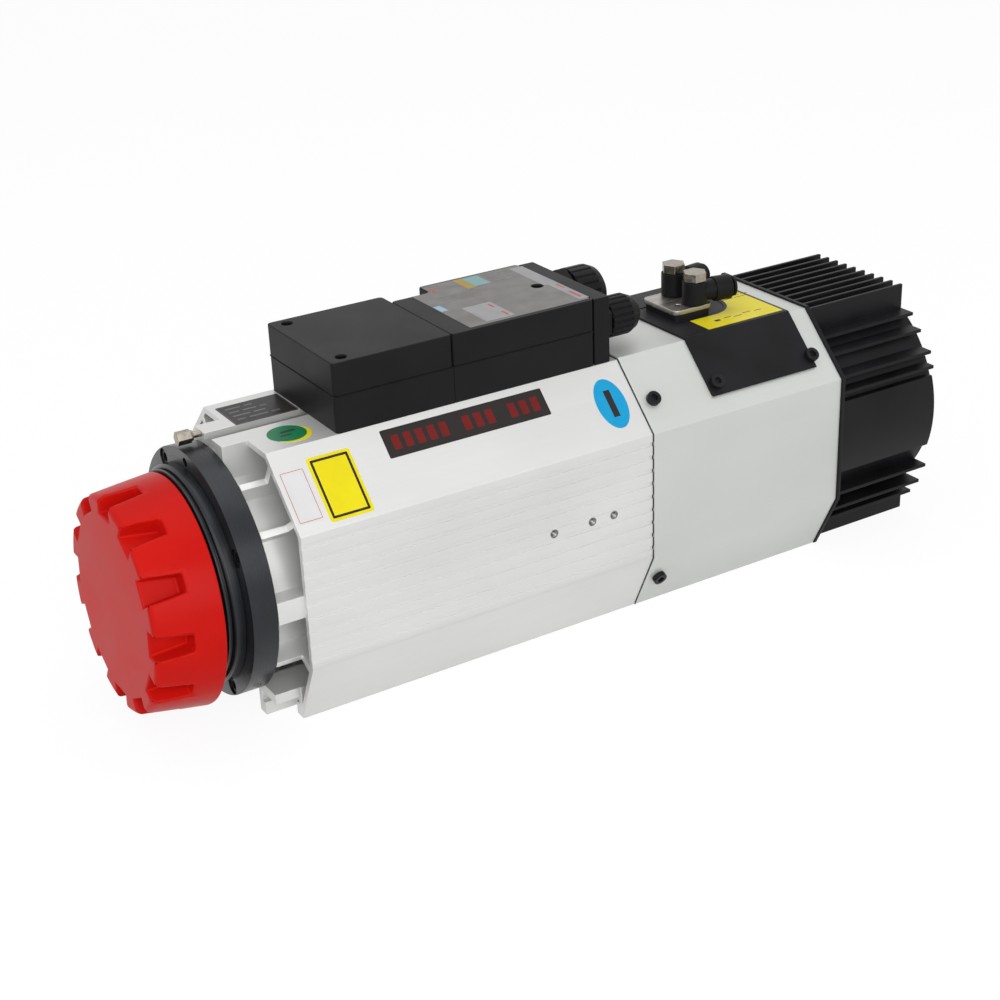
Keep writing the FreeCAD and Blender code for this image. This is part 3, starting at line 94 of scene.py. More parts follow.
def object_space(tree, stretch=(1, 1, 1), offset=(0, 0, 0)):
    """Object coordinates, shifted and stretched."""
    place = tree.nodes.new("ShaderNodeTexCoord")
    mapping = tree.nodes.new("ShaderNodeMapping")
    mapping.inputs["Scale"].default_value = stretch
    mapping.inputs["Location"].default_value = offset
    tree.links.new(place.outputs["Object"], mapping.inputs["Vector"])
    return mapping.outputs["Vector"]


def speckle(tree, vector, scale, detail=3.0):
    """A noise pattern in a given space."""
    noise = tree.nodes.new("ShaderNodeTexNoise")
    noise.inputs["Scale"].default_value = scale
    noise.inputs["Detail"].default_value = detail
    tree.links.new(vector, noise.inputs["Vector"])
    return noise.outputs["Fac"]


def spread(tree, value, low, high, start=0.3, end=0.7):
    """A pattern turned into numbers between two limits."""
    ranged = tree.nodes.new("ShaderNodeMapRange")
    ranged.inputs["From Min"].default_value = start
    ranged.inputs["From Max"].default_value = end
    ranged.inputs["To Min"].default_value = low
    ranged.inputs["To Max"].default_value = high
    tree.links.new(value, ranged.inputs["Value"])
    return ranged.outputs["Result"]


def two_tone(tree, shader, pattern, dark, light):
    """Base colour that wanders between two colours."""
    mixed = tree.nodes.new("ShaderNodeMix")
    mixed.data_type = "RGBA"
    mixed.inputs["A"].default_value = (*dark, 1)
    mixed.inputs["B"].default_value = (*light, 1)
    tree.links.new(spread(tree, pattern, 0, 1), mixed.inputs["Factor"])
    tree.links.new(mixed.outputs["Result"], shader.inputs["Base Color"])
    return mixed


def relief(tree, shader, pattern, depth, strength=1.0):
    """Bump from a pattern, with its depth in metres."""
    bump = tree.nodes.new("ShaderNodeBump")
    bump.inputs["Distance"].default_value = depth
    bump.inputs["Strength"].default_value = strength
    tree.links.new(pattern, bump.inputs["Height"])
    tree.links.new(bump.outputs["Normal"], shader.inputs["Normal"])


def turned_space(tree):
    """For a turned piece: the radius round the spindle axis and the place along it."""
    centred = object_space(tree, offset=(0, 0, -AXIS_HEIGHT))
    parts = tree.nodes.new("ShaderNodeSeparateXYZ")
    tree.links.new(centred, parts.inputs["Vector"])
    flat = tree.nodes.new("ShaderNodeCombineXYZ")
    tree.links.new(parts.outputs["Y"], flat.inputs["Y"])
    tree.links.new(parts.outputs["Z"], flat.inputs["Z"])
    radius = tree.nodes.new("ShaderNodeVectorMath")
    radius.operation = "LENGTH"
    tree.links.new(flat.outputs["Vector"], radius.inputs["Vector"])
    joined = tree.nodes.new("ShaderNodeCombineXYZ")
    tree.links.new(parts.outputs["X"], joined.inputs["X"])
    tree.links.new(radius.outputs["Value"], joined.inputs["Y"])
    return joined.outputs["Vector"]


def extruded_aluminium(name, dark, light, metallic, roughness):
    """Anodised aluminium with fine drawing lines along the axis and soft clouding."""
    _, tree, shader = new_finish(name, light, roughness, metallic)
    lines = speckle(tree, object_space(tree, stretch=(4, 1500, 1500)), scale=1.0, detail=3)
    clouds = speckle(tree, object_space(tree, stretch=(0.5, 1, 1)), scale=18.0, detail=4)
    share_of_lines = 0.18
    blend = tree.nodes.new("ShaderNodeMath")
    blend.operation = "MULTIPLY_ADD"
    blend.inputs[1].default_value = share_of_lines
    tree.links.new(lines, blend.inputs[0])
    tree.links.new(spread(tree, clouds, 0, 0.65, start=0, end=1), blend.inputs[2])
    two_tone(tree, shader, blend.outputs["Value"], dark, light)
    tree.links.new(spread(tree, lines, roughness - 0.03, roughness + 0.03), shader.inputs["Roughness"])
    relief(tree, shader, lines, depth=0.012 * MM, strength=0.06)


def turned_black(name, colour, edge, roughness):
    """Black anodised metal with fine turning rings and faint handling marks."""
    _, tree, shader = new_finish(name, colour, roughness, metallic=0.35)
    rings = speckle(tree, turned_space(tree), scale=2600.0, detail=2)
    marks = speckle(tree, object_space(tree), scale=60.0, detail=5)
    two_tone(tree, shader, marks, colour, edge)
    tree.links.new(spread(tree, rings, roughness - 0.06, roughness + 0.08), shader.inputs["Roughness"])
    relief(tree, shader, rings, depth=0.015 * MM, strength=0.3)


def satin_black(name, colour, light, roughness, metallic=0.0):
    """Thin black coating with a fine orange-peel and slight dusting."""
    _, tree, shader = new_finish(name, colour, roughness, metallic)
    shader.inputs["Specular IOR Level"].default_value = 0.14
    dust = speckle(tree, object_space(tree), scale=35.0, detail=5)
    two_tone(tree, shader, dust, colour, light)
    peel = speckle(tree, object_space(tree), scale=1800.0, detail=2)
    relief(tree, shader, peel, depth=0.02 * MM, strength=0.25)
    tree.links.new(spread(tree, dust, roughness - 0.05, roughness + 0.08), shader.inputs["Roughness"])


def moulded_plastic(name, dark, light, roughness, grain_scale, grain_depth, gloss=0.12):
    """Moulded plastic with its grain and a slow change of tone."""
    _, tree, shader = new_finish(name, light, roughness)
    shader.inputs["Specular IOR Level"].default_value = gloss
    clouds = speckle(tree, object_space(tree), scale=22.0, detail=4)
    two_tone(tree, shader, clouds, dark, light)
    grain = speckle(tree, object_space(tree), grain_scale, detail=2)
    relief(tree, shader, grain, grain_depth, strength=0.4)
    tree.links.new(spread(tree, clouds, roughness - 0.04, roughness + 0.06), shader.inputs["Roughness"])


def machined_metal(name, dark, light, roughness, stretch=(300, 300, 300)):
    """Bare or plated metal with tool marks."""
    _, tree, shader = new_finish(name, light, roughness, metallic=1.0)
    marks = speckle(tree, object_space(tree, stretch=stretch), scale=1.0, detail=4)
    two_tone(tree, shader, marks, dark, light)
    tree.links.new(spread(tree, marks, roughness - 0.08, roughness + 0.1), shader.inputs["Roughness"])
    relief(tree, shader, marks, depth=0.01 * MM, strength=0.3)


def printed_film(name, colour, shade, roughness=0.35, metallic=0.0):
    """The printed film of a sticker, slightly uneven."""
    material, tree, shader = new_finish(name, colour, roughness, metallic)
    shader.inputs["Specular IOR Level"].default_value = 0.2
    waves = speckle(tree, object_space(tree), scale=90.0, detail=4)
    two_tone(tree, shader, waves, shade, colour)
    relief(tree, shader, waves, depth=0.03 * MM, strength=0.3)
    return material


extruded_aluminium("front_aluminium", dark=(0.70, 0.70, 0.69), light=(0.80, 0.80, 0.79),
                   metallic=0.45, roughness=0.38)
extruded_aluminium("rear_aluminium", dark=(0.62, 0.635, 0.61), light=(0.71, 0.72, 0.70),
                   metallic=0.35, roughness=0.44)
turned_black("black_metal", colour=(0.010, 0.011, 0.014), edge=(0.017, 0.019, 0.024), roughness=0.30)
satin_black("black_fins", colour=(0.007, 0.007, 0.008), light=(0.013, 0.013, 0.015), roughness=0.42)
satin_black("black_screws", colour=(0.010, 0.010, 0.011), light=(0.022, 0.022, 0.024), roughness=0.34,
            metallic=0.4)
satin_black("wire", colour=(0.008, 0.008, 0.008), light=(0.015, 0.015, 0.015), roughness=0.35,
            metallic=0.3)
moulded_plastic("red_plastic", dark=(0.58, 0.006, 0.004), light=(0.66, 0.010, 0.006), roughness=0.36,
                grain_scale=900.0, grain_depth=0.03 * MM, gloss=0.09)
moulded_plastic("black_plastic", dark=(0.007, 0.007, 0.008), light=(0.011, 0.011, 0.012), roughness=0.44,
                grain_scale=1500.0, grain_depth=0.05 * MM)
moulded_plastic("black_rubber", dark=(0.009, 0.009, 0.009), light=(0.015, 0.015, 0.015), roughness=0.75,
                grain_scale=900.0, grain_depth=0.04 * MM)
machined_metal("steel", dark=(0.48, 0.48, 0.49), light=(0.57, 0.57, 0.58), roughness=0.28,
               stretch=(1200, 12, 12))
machined_metal("nickel", dark=(0.25, 0.225, 0.185), light=(0.40, 0.365, 0.31), roughness=0.34)
machined_metal("stainless", dark=(0.30, 0.285, 0.26), light=(0.46, 0.44, 0.41), roughness=0.36,
               stretch=(40, 700, 700))
machined_metal("core_iron", dark=(0.10, 0.10, 0.11), light=(0.20, 0.20, 0.21), roughness=0.5,
               stretch=(2500, 20, 20))
machined_metal("copper", dark=(0.50, 0.17, 0.06), light=(0.78, 0.33, 0.14), roughness=0.38,
               stretch=(60, 900, 900))
machined_metal("bare_aluminium", dark=(0.55, 0.55, 0.55), light=(0.78, 0.78, 0.78), roughness=0.34)
# painted shade: the thread in a tapped hole is drawn dark grey in place of bare aluminium, for the shade
# inside the hole
machined_metal("thread_painted_shade", dark=(0.14, 0.14, 0.14), light=(0.34, 0.34, 0.34), roughness=0.3,
               stretch=(700, 700, 700))
YELLOW_FILM = printed_film("yellow_film", (0.93, 0.80, 0.010), (0.88, 0.74, 0.008))
BLACK_INK = printed_film("black_ink", (0.018, 0.016, 0.016), (0.030, 0.027, 0.027), roughness=0.45)
WHITE_FILM = printed_film("white_film", (0.80, 0.80, 0.80), (0.76, 0.76, 0.76))
RED_INK = printed_film("red_ink", (0.60, 0.10, 0.09), (0.54, 0.08, 0.07), roughness=0.45)
DULL_RED_INK = printed_film("dull_red_ink", (0.20, 0.012, 0.010), (0.16, 0.010, 0.008), roughness=0.45)
DARK_FILM = printed_film("dark_film", (0.028, 0.022, 0.022), (0.020, 0.017, 0.017), roughness=0.38)
BLUE_FILM = printed_film("blue_film", (0.012, 0.40, 0.74), (0.010, 0.36, 0.70))
GREEN_FILM = printed_film("green_film", (0.006, 0.21, 0.085), (0.005, 0.18, 0.075))
GREY_FILM = printed_film("grey_film", (0.20, 0.195, 0.185), (0.14, 0.135, 0.13), roughness=0.34,
                         metallic=0.55)
PALE_INK = printed_film("pale_ink", (0.40, 0.40, 0.41), (0.33, 0.33, 0.34), roughness=0.4)
SKY_INK = printed_film("sky_ink", (0.26, 0.46, 0.47), (0.22, 0.41, 0.42), roughness=0.4)
ICE_INK = printed_film("ice_ink", (0.38, 0.55, 0.70), (0.33, 0.50, 0.66), roughness=0.4)
OCHRE_INK = printed_film("ochre_ink", (0.46, 0.33, 0.045), (0.40, 0.28, 0.035), roughness=0.4)
FAINT_INK = printed_film("faint_ink", (0.17, 0.17, 0.175), (0.12, 0.12, 0.125), roughness=0.4)
# painted shade for the gap at the joint between the two housings
PAINTED_SEAM_SHADE = printed_film("painted_seam_shade", (0.030, 0.027, 0.022), (0.012, 0.011, 0.010), roughness=0.8)


# Pieces made from the frame's nodes

def add_piece(name, form, material, body, smooth_angle=35.0):
    """Turn a bmesh into a piece of the machine that rides on a body."""
    mesh = bpy.data.meshes.new(name)
    form.to_mesh(mesh)
    form.free()
    for polygon in mesh.polygons:
        polygon.use_smooth = True
    mesh.set_sharp_from_angle(angle=math.radians(smooth_angle))
    mesh.materials.append(material)
    piece = bpy.data.objects.new(name, mesh)
    bpy.context.scene.collection.objects.link(piece)
    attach(piece, body)
    level = piece.modifiers.new("even_shading", "WEIGHTED_NORMAL")
    level.keep_sharp = True
    return piece


def paint_node(node):
    """Give a node's own mesh the finish of its slot."""
    mesh = frame["nodes"][node].data
    finish = FINISHES[SLOT_OF[node]]
    if mesh.materials:
        mesh.materials[0] = finish
    else:
        mesh.materials.append(finish)


def copy_of(node):
    """A node's mesh, which is loose triangles, as a form."""
    form = bmesh.new()
    form.from_mesh(frame["nodes"][node].data)
    return form


def merge_points(form):
    """Join triangles that share their corners."""
    bmesh.ops.remove_doubles(form, verts=form.verts, dist=SAME_POINT)


def softened(node, width, segments=2, sharp_angle=28.0):
    """Show a node with its sharp edges rounded by a width in metres."""
    form = copy_of(node)
    merge_points(form)
    bmesh.ops.dissolve_limit(form, angle_limit=math.radians(0.5), verts=form.verts, edges=form.edges)
    limit = math.radians(sharp_angle)
    sharp = [edge for edge in form.edges if len(edge.link_faces) == 2 and edge.calc_face_angle(0) > limit]
    if width > 0:
        bmesh.ops.bevel(form, geom=sharp, offset=width, offset_type="OFFSET", affect="EDGES",
                        segments=segments, profile=0.5, material=-1, clamp_overlap=False)
    piece = add_piece(node + "_shown", form, FINISHES[SLOT_OF[node]], BODY_OF[node])
    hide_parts(node)


# Flat forms for labels, with sizes and places in millimetres

def on_top(x, y, level=TOP_HEIGHT):
    """A place on a flat that faces up: across runs along +X and up along +Y."""
    return Matrix.Translation((x * MM, y * MM, level))


def on_near_slope(x, down):
    """A place on the near upper slope, measured down the slope from the edge of the top flat."""
    turn = Matrix.Rotation(math.radians(45), 4, "X")
    step = down * MM / math.sqrt(2)
    return Matrix.Translation((x * MM, -TOP_HALF - step, TOP_HEIGHT - step)) @ turn


def film(width, height, corner):
    """A flat rectangle, centred, with round corners."""
    form = bars([(0, 0, width, height)])
    bmesh.ops.bevel(form, geom=form.verts[:], offset=corner * MM, offset_type="OFFSET", affect="VERTICES",
                    segments=6, profile=0.5, material=-1)
    return form


def oval(half_width, half_height):
    """A flat oval, centred."""
    form = bmesh.new()
    made = bmesh.ops.create_circle(form, cap_ends=True, segments=64, radius=1)
    bmesh.ops.scale(form, vec=(half_width * MM, half_height * MM, 1), verts=made["verts"])
    return form


def bars(spots):
    """Plain bars, each given by its centre and its size."""
    form = bmesh.new()
    for x, y, width, height in spots:
        place = on_top(x, y, 0) @ Matrix.Diagonal((width * MM, height * MM, 1, 1))
        bmesh.ops.create_grid(form, x_segments=1, y_segments=1, size=0.5, matrix=place)
    return form


def lines_of_print(left, top, rows, height, gap, line_step):
    """Places of bars set like lines of print: one row for each tuple of widths."""
    spots = []
    for row, widths in enumerate(rows):
        x = left
        for width in widths:
            spots.append((x + width / 2, top - row * line_step, width, height))
            x += width + gap
    return spots


def rim_of(form, width):
    """The faces along the edge of a flat form, after it is inset by a width."""
    return bmesh.ops.inset_region(form, faces=form.faces[:], thickness=width * MM, use_boundary=True,
                                  use_even_offset=True)["faces"]


def border(width, height, corner, line):
    """A line round a rectangle."""
    form = film(width, height, corner)
    kept = set(rim_of(form, line))
    bmesh.ops.delete(form, geom=[face for face in form.faces if face not in kept], context="FACES")
    return form


def raised(form, step):
    """Extrude all faces of a flat form by a step and turn them outward."""
    made = bmesh.ops.extrude_face_region(form, geom=form.faces[:])
    moved = [item for item in made["geom"] if isinstance(item, bmesh.types.BMVert)]
    bmesh.ops.translate(form, verts=moved, vec=step)
    bmesh.ops.recalc_face_normals(form, faces=form.faces)


def stick(name, form, place, material, lift=LABEL_LIFT):
    """Give a flat form its thickness and stick it on the housing."""
    raised(form, (0, 0, lift))
    bmesh.ops.transform(form, matrix=place, verts=form.verts)
    add_piece(name, form, material, "housing")


def faces_at(node, axis, level):
    """The faces of a node that look along an axis and lie at a level."""
    form = copy_of(node)
    away = [face for face in form.faces
            if face.normal[axis] < FACING or abs(face.calc_center_median()[axis] - level) > SAME_LEVEL]
    bmesh.ops.delete(form, geom=away, context="FACES")
    merge_points(form)
    return form


def cut_across(form, point, normal, clear=False):
    """Cut a flat form along a plane, and clear what lies past it where that is asked."""
    bmesh.ops.bisect_plane(form, geom=form.verts[:] + form.edges[:] + form.faces[:], plane_co=point,
                           plane_no=normal, clear_outer=clear)


def top_faces(node, low, high):
    """The upper faces of a node inside a rectangle, at height 0."""
    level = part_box(node)[1].z
    form = faces_at(node, 2, level)
    for (x, y), outward in ((low, -1), (high, 1)):
        corner = (x * MM, y * MM, level)
        cut_across(form, corner, (outward, 0, 0), clear=True)
        cut_across(form, corner, (0, outward, 0), clear=True)
    bmesh.ops.translate(form, verts=form.verts, vec=(0, 0, -level))
    return form


def draw_in(form, width):
    """Merge a flat form's faces and take a width off along their edges."""
    bmesh.ops.dissolve_limit(form, angle_limit=math.radians(1), verts=form.verts, edges=form.edges)
    bmesh.ops.delete(form, geom=rim_of(form, width), context="FACES")


# Labels

def add_near_slope_labels():
    """Yellow, white, dark and blue labels on the near upper slope."""
    yellow = on_near_slope(x=32.2, down=27.4)
    stick("yellow_label", film(25.6, 37.5, corner=1.8), yellow, YELLOW_FILM)
    stick("yellow_label_border", border(22.2, 34.1, corner=0.8, line=1.4), yellow, BLACK_INK, BORDER_LIFT)
    white = on_near_slope(x=9.4, down=27.6)
    stick("white_label", film(14.2, 30.0, corner=0.6), white, WHITE_FILM)
    stick("white_label_frame", border(13.2, 29.0, corner=0.4, line=0.3), white, RED_INK, BORDER_LIFT)
    dark = on_near_slope(x=116.8, down=12.8)
    stick("dark_label", film(103.0, 16.8, corner=0.8), dark, DARK_FILM)
    stick("dark_label_bars", bars(dark_label_spots()), dark, DULL_RED_INK, PRINT_LIFT)
    blue = on_near_slope(x=207.5, down=24.8)
    stick("blue_label", oval(9.8, 15.8), blue, BLUE_FILM)
    stick("blue_label_bar", bars([(0, 0, 4.2, 17)]), blue, BLACK_INK, PRINT_LIFT)


def dark_label_spots():
    """One upright bar for each letter's place, with a gap between the groups."""
    count, pitch, width, height = 13, 7.4, 4.6, 8.6
    gaps = (5, 9)
    start = -(count - 1) / 2 * pitch
    return [(start + step * pitch, 0, width, height) for step in range(count) if step not in gaps]


def add_top_labels():
    """Two overlapping discs and a dark plate on the flat in front of the terminal box."""
    over_amber = LABEL_LIFT * 1.6
    over_green = LABEL_LIFT * 1.8
    stick("amber_disc", oval(11, 11), on_top(22.8, -24.3), YELLOW_FILM)
    green = on_top(21.0, -22.4)
    stick("green_disc", oval(10.8, 10.8), green, GREEN_FILM, over_amber)
    stick("green_disc_bars", bars([(1.5, 2.4, 8.5, 2.2), (-1.5, -2.2, 6.5, 1.4)]), green, BLACK_INK,
          over_green)
    plate = on_top(22.6, 18.8)
    stick("nose_plate", film(37.8, 28.4, corner=0.8), plate, DARK_FILM)
    stick("nose_plate_border", border(36.8, 27.4, corner=0.5, line=0.25), plate, FAINT_INK, PRINT_LIFT)
    rows = ((9, 5), (6, 8, 4), (10, 7), (5, 11, 5))
    print_spots = lines_of_print(-15, 9, rows, height=1.6, gap=2.2, line_step=5.6)
    stick("nose_plate_bars", bars(print_spots), plate, FAINT_INK, PRINT_LIFT)


def add_sheet_label():
    """The label on the rear cover sheet, cut out round the air block."""
    form = top_faces("top_sheet", low=(290, -40.5), high=(354, 40.5))
    past_block = 318 * MM
    cut_across(form, (past_block, 0, 0), (1, 0, 0))
    far_front = [face for face in form.faces
                 if face.calc_center_median().x < past_block and face.calc_center_median().y > 0]
    bmesh.ops.delete(form, geom=far_front, context="FACES")
    draw_in(form, 2.2)
    stick("sheet_label", form, on_top(0, 0, SHEET_TOP), YELLOW_FILM)
    rows = ((7, 12), (16, 5), (9, 9))
    print_spots = lines_of_print(-6, 10, rows, height=0.7, gap=1.2, line_step=3.2)
    stick("sheet_label_bars", bars(print_spots), on_top(336, -6, SHEET_TOP), BLACK_INK, PRINT_LIFT)
    marks = [(-16, 0, 4, 2.4), (-8, 0.8, 5, 0.8), (-1, -0.6, 6, 0.8), (7, 1.2, 6, 0.8), (15, 0.2, 5, 0.8)]
    stick("sheet_label_marks", bars(marks), on_top(322, -29, SHEET_TOP), BLACK_INK, PRINT_LIFT)


def add_box_label():
    """The metal film on the rear lid, over one lid screw, with plain patches in place of its print."""
    form = top_faces("terminal_lid_rear", low=(128, -37.5), high=(210.5, 40.5))
    covered_screw = Vector((143 * MM, -31.7 * MM, 0))
    screw_reach = 6 * MM
    hole = [edge for edge in form.edges
            if edge.is_boundary and (edge.verts[0].co - covered_screw).length < screw_reach]
    bmesh.ops.holes_fill(form, edges=hole, sides=0)
    draw_in(form, 0.8)
    stick("box_label", form, on_top(0, 0, BOX_TOP), GREY_FILM)
    place = on_top(170, 0, BOX_TOP)
    patches = (("ochre_patch", (-5.4, 29.5, 5.6, 18), OCHRE_INK),
               ("sky_patch", (3, 30, 10.6, 16), SKY_INK),
               ("pale_patch", (-19.5, -20.2, 18.6, 27), PALE_INK),
               ("ice_patch", (-38.6, 0, 4.4, 9.6), ICE_INK),
               ("end_patch", (34.4, 17.5, 9.0, 38), PALE_INK),
               ("end_strip", (35.6, -18, 6.4, 33), PALE_INK))
    for name, spot, ink in patches:
        stick(name, bars([spot]), place, ink, PRINT_LIFT)
    marks = [(-13.2, -28, 1.4, 7), (-13.2, -13, 1.4, 6), (35.6, -25, 1.6, 12), (36.6, -8, 1.2, 9),
             (-26, 30, 1.2, 10)]
    stick("box_label_marks", bars(marks), place, RED_INK, MARK_LIFT)
    front_rows = ((14, 9), (11, 12), (16, 7), (9, 14))
    faint = lines_of_print(-32, 16, front_rows, height=0.6, gap=2.0, line_step=3.0)
    rear_rows = ((8, 7), (10, 5), (6, 9), (9, 6))
    faint += lines_of_print(11, 35, rear_rows, height=0.6, gap=1.6, line_step=4.2)
    stick("box_label_bars", bars(faint), place, FAINT_INK, PRINT_LIFT)


# Small things on the housing

def add_seam():
    """A dark ring of painted shade on the joint between the two housings, from the end face of the front
    one.
    """
    stands_out = 0.35 * MM
    thickness = 0.5 * MM
    form = faces_at("motor_housing", 0, SKIN_END)
    wider = 1 + stands_out / HALF_WIDTH
    to_middle = Matrix.Translation((0, 0, -TOP_HEIGHT / 2))
    bmesh.ops.scale(form, vec=(1, wider, wider), space=to_middle, verts=form.verts)
    raised(form, (-thickness, 0, 0))
    add_piece("joint_seam", form, PAINTED_SEAM_SHADE, "housing")


def thread_profile(form):
    """Half the section of a threaded hole: its bright lip, then a zigzag down the wall."""
    radius = 2.08 * MM
    pitch = 0.8 * MM
    tooth = 0.42 * MM
    depth = 9.6 * MM
    lip = 0.6 * MM
    start = 0.25 * MM
    points = [form.verts.new((0, -0.05 * MM, radius + lip)), form.verts.new((0, -0.06 * MM, radius)),
              form.verts.new((0, start, radius))]
    for turn in range(int(depth / pitch)):
        root = start + turn * pitch
        points.append(form.verts.new((0, root + pitch / 2, radius - tooth)))
        points.append(form.verts.new((0, root + pitch, radius)))
    return points + [form.edges.new(pair) for pair in zip(points, points[1:])]


def add_thread(name, mount):
    """The thread inside a tapped hole, turned about the hole's axis."""
    form = bmesh.new()
    bmesh.ops.spin(form, geom=thread_profile(form), cent=(0, 0, 0), axis=(0, 1, 0), steps=28,
                   angle=math.radians(360), use_merge=True)
    bmesh.ops.remove_doubles(form, verts=form.verts, dist=0.001 * MM)
    bmesh.ops.recalc_face_normals(form, faces=form.faces)
    bmesh.ops.reverse_faces(form, faces=form.faces)
    mouth = (mount["pos_m"][0], -HALF_WIDTH, mount["pos_m"][2])
    bmesh.ops.translate(form, verts=form.verts, vec=mouth)
    # the thread's dark finish is painted shade for the inside of the hole
    add_piece(name, form, FINISHES["thread_painted_shade"], "housing")


def add_threads():
    """A thread in every tapped hole of the record."""
    for mount in frame["record"]["mounts"]:
        if mount["kind"] == "threaded_hole":
            add_thread(mount["name"] + "_thread", mount)


# Room, light and camera

def add_floor():
    """A pale floor that reads white where nothing shades it."""
    form = bmesh.new()
    bmesh.ops.create_grid(form, x_segments=1, y_segments=1, size=6)
    mesh = bpy.data.meshes.new("floor")
    form.to_mesh(mesh)
    form.free()
    floor = bpy.data.objects.new("floor", mesh)
    bpy.context.scene.collection.objects.link(floor)
    below = 0.2 * MM
    floor.location.z = -below
    material, tree, shader = new_finish("floor_paper", (0.60, 0.60, 0.60), roughness=0.9)
    mesh.materials.append(material)
    paper = speckle(tree, object_space(tree), scale=400.0, detail=2)
    relief(tree, shader, paper, depth=0.05 * MM, strength=0.1)
    glow = tree.nodes.new("ShaderNodeEmission")
    glow.inputs["Strength"].default_value = 1.12
    seen = tree.nodes.new("ShaderNodeMixShader")
    share = tree.nodes.new("ShaderNodeMath")
    share.operation = "MULTIPLY"
    share_of_white = 0.82
    share.inputs[1].default_value = share_of_white
    tree.links.new(background_rays(tree), share.inputs[0])
    tree.links.new(share.outputs["Value"], seen.inputs["Fac"])
    tree.links.new(shader.outputs["BSDF"], seen.inputs[1])
    tree.links.new(glow.outputs["Emission"], seen.inputs[2])
    output = next(node for node in tree.nodes if node.type == "OUTPUT_MATERIAL")
    tree.links.new(seen.outputs["Shader"], output.inputs["Surface"])


def background_rays(tree):
    """One for rays that see the background: from the camera, a gloss or through glass."""
    rays = tree.nodes.new("ShaderNodeLightPath")
    first = tree.nodes.new("ShaderNodeMath")
    first.operation = "MAXIMUM"
    tree.links.new(rays.outputs["Is Camera Ray"], first.inputs[0])
    tree.links.new(rays.outputs["Is Glossy Ray"], first.inputs[1])
    second = tree.nodes.new("ShaderNodeMath")
    second.operation = "MAXIMUM"
    tree.links.new(first.outputs["Value"], second.inputs[0])
    tree.links.new(rays.outputs["Is Transmission Ray"], second.inputs[1])
    return second.outputs["Value"]


def add_world():
    """Soft light all round, seen as plain white."""
    world = bpy.data.worlds.new("studio")
    bpy.context.scene.world = world
    world.use_nodes = True
    tree = world.node_tree
    soft = tree.nodes["Background"]
    soft.inputs["Color"].default_value = (1, 1, 1, 1)
    soft.inputs["Strength"].default_value = 0.38
    white = tree.nodes.new("ShaderNodeBackground")
    white.inputs["Color"].default_value = (1, 1, 1, 1)
    white.inputs["Strength"].default_value = 1
    mixed = tree.nodes.new("ShaderNodeMixShader")
    tree.links.new(background_rays(tree), mixed.inputs["Fac"])
    tree.links.new(soft.outputs["Background"], mixed.inputs[1])
    tree.links.new(white.outputs["Background"], mixed.inputs[2])
    output = next(node for node in tree.nodes if node.type == "OUTPUT_WORLD")
    tree.links.new(mixed.outputs["Shader"], output.inputs["Surface"])


def add_softbox(name, place, aim, size, watts):
    """A rectangular lamp at a place, turned to what it lights."""
    lamp = bpy.data.lights.new(name, "AREA")
    lamp.shape = "RECTANGLE"
    lamp.size, lamp.size_y = size
    lamp.energy = watts
    holder = bpy.data.objects.new(name, lamp)
    bpy.context.scene.collection.objects.link(holder)
    holder.location = place
    holder.rotation_mode = "QUATERNION"
    holder.rotation_quaternion = (Vector(aim) - Vector(place)).to_track_quat("-Z", "Y")


def add_lights():
    """Three large soft lamps: in front, above, and a weak one at the nose."""
    middle = (0.18, 0, 0.08)
    add_softbox("front_softbox", place=(-0.3, -1.7, 0.9), aim=middle, size=(1.8, 1.2), watts=18)
    add_softbox("top_softbox", place=(0.2, 0.2, 1.9), aim=middle, size=(2.0, 1.6), watts=9)
    add_softbox("nose_softbox", place=(-1.6, -0.5, 0.8), aim=middle, size=(1.2, 1.0), watts=5)


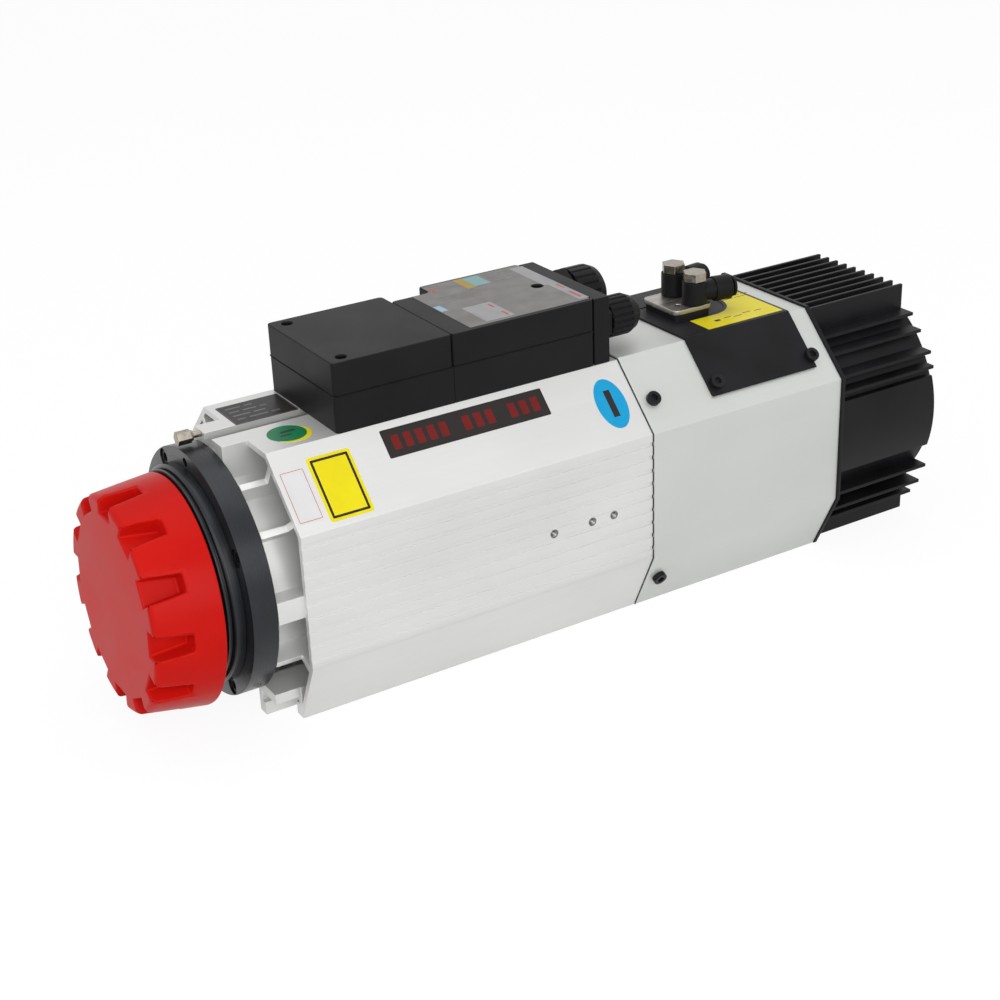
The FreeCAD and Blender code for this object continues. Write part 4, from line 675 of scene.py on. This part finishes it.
def add_camera():
    """The photograph's viewpoint, worked out from the housing's edges."""
    azimuth = math.radians(-30.99)
    elevation = math.radians(25.38)
    roll = math.radians(-2.31)
    target = Vector((250, 0, 70)) * MM
    distance = 1120.05 * MM
    leftward = 71.61 * MM
    downward = 26.32 * MM
    back = Vector((math.sin(azimuth) * math.cos(elevation), -math.cos(azimuth) * math.cos(elevation),
                   math.sin(elevation)))
    level_right = (-back).cross(Vector((0, 0, 1))).normalized()
    level_up = level_right.cross(-back)
    right = level_right * math.cos(roll) + level_up * math.sin(roll)
    up = level_up * math.cos(roll) - level_right * math.sin(roll)
    place = target + back * distance - right * leftward - up * downward
    data = bpy.data.cameras.new("photo_camera")
    data.lens = 64.84
    data.sensor_width = 36
    data.clip_start = 0.05
    data.clip_end = 50
    camera = bpy.data.objects.new("photo_camera", data)
    bpy.context.scene.collection.objects.link(camera)
    camera.matrix_world = Matrix.Translation(place) @ Matrix((right, up, back)).transposed().to_4x4()
    bpy.context.scene.camera = camera


# Rounding of each node's edges in millimetres; 0 only evens out its shading

EDGE_WIDTH = {
    "nose_cap": 1.3, "front_flange": 0.2, "bearing_cover": 0.3, "nose_plug": 0.25,
    "terminal_box_base": 0, "terminal_lid_front": 0.7, "terminal_lid_rear": 0.7, "gland_plate": 0.6,
    "small_gland_body": 0.3, "small_gland_nut": 0.3, "large_gland_body": 0.3, "large_gland_nut": 0.3,
    "top_sheet": 0.25, "air_block": 0.3, "fitting_plate": 0.45, "near_elbow": 0.5, "far_elbow": 0.5,
    "near_collar": 0.25, "far_collar": 0.25, "near_bolt": 0.4, "far_bolt": 0.4,
    "housing_screws": 0.25, "sheet_screws": 0.25, "fan_shroud": 0.3, "fan_guard": 0, "fan_impeller": 0,
    "spindle_shaft": 0.3, "drive_keys": 0.3, "motor_housing": 0.25, "rear_housing": 0.3,
    "shroud_plate": 0.3, "fan_motor": 0, "cylinder_body": 0,
}

for node in frame["nodes"]:
    paint_node(node)
for node, width in EDGE_WIDTH.items():
    softened(node, width * MM)
add_near_slope_labels()
add_top_labels()
add_box_label()
add_sheet_label()
add_seam()
add_threads()
add_floor()
add_world()
add_lights()
add_camera()
bpy.context.scene.view_settings.view_transform = "Standard"
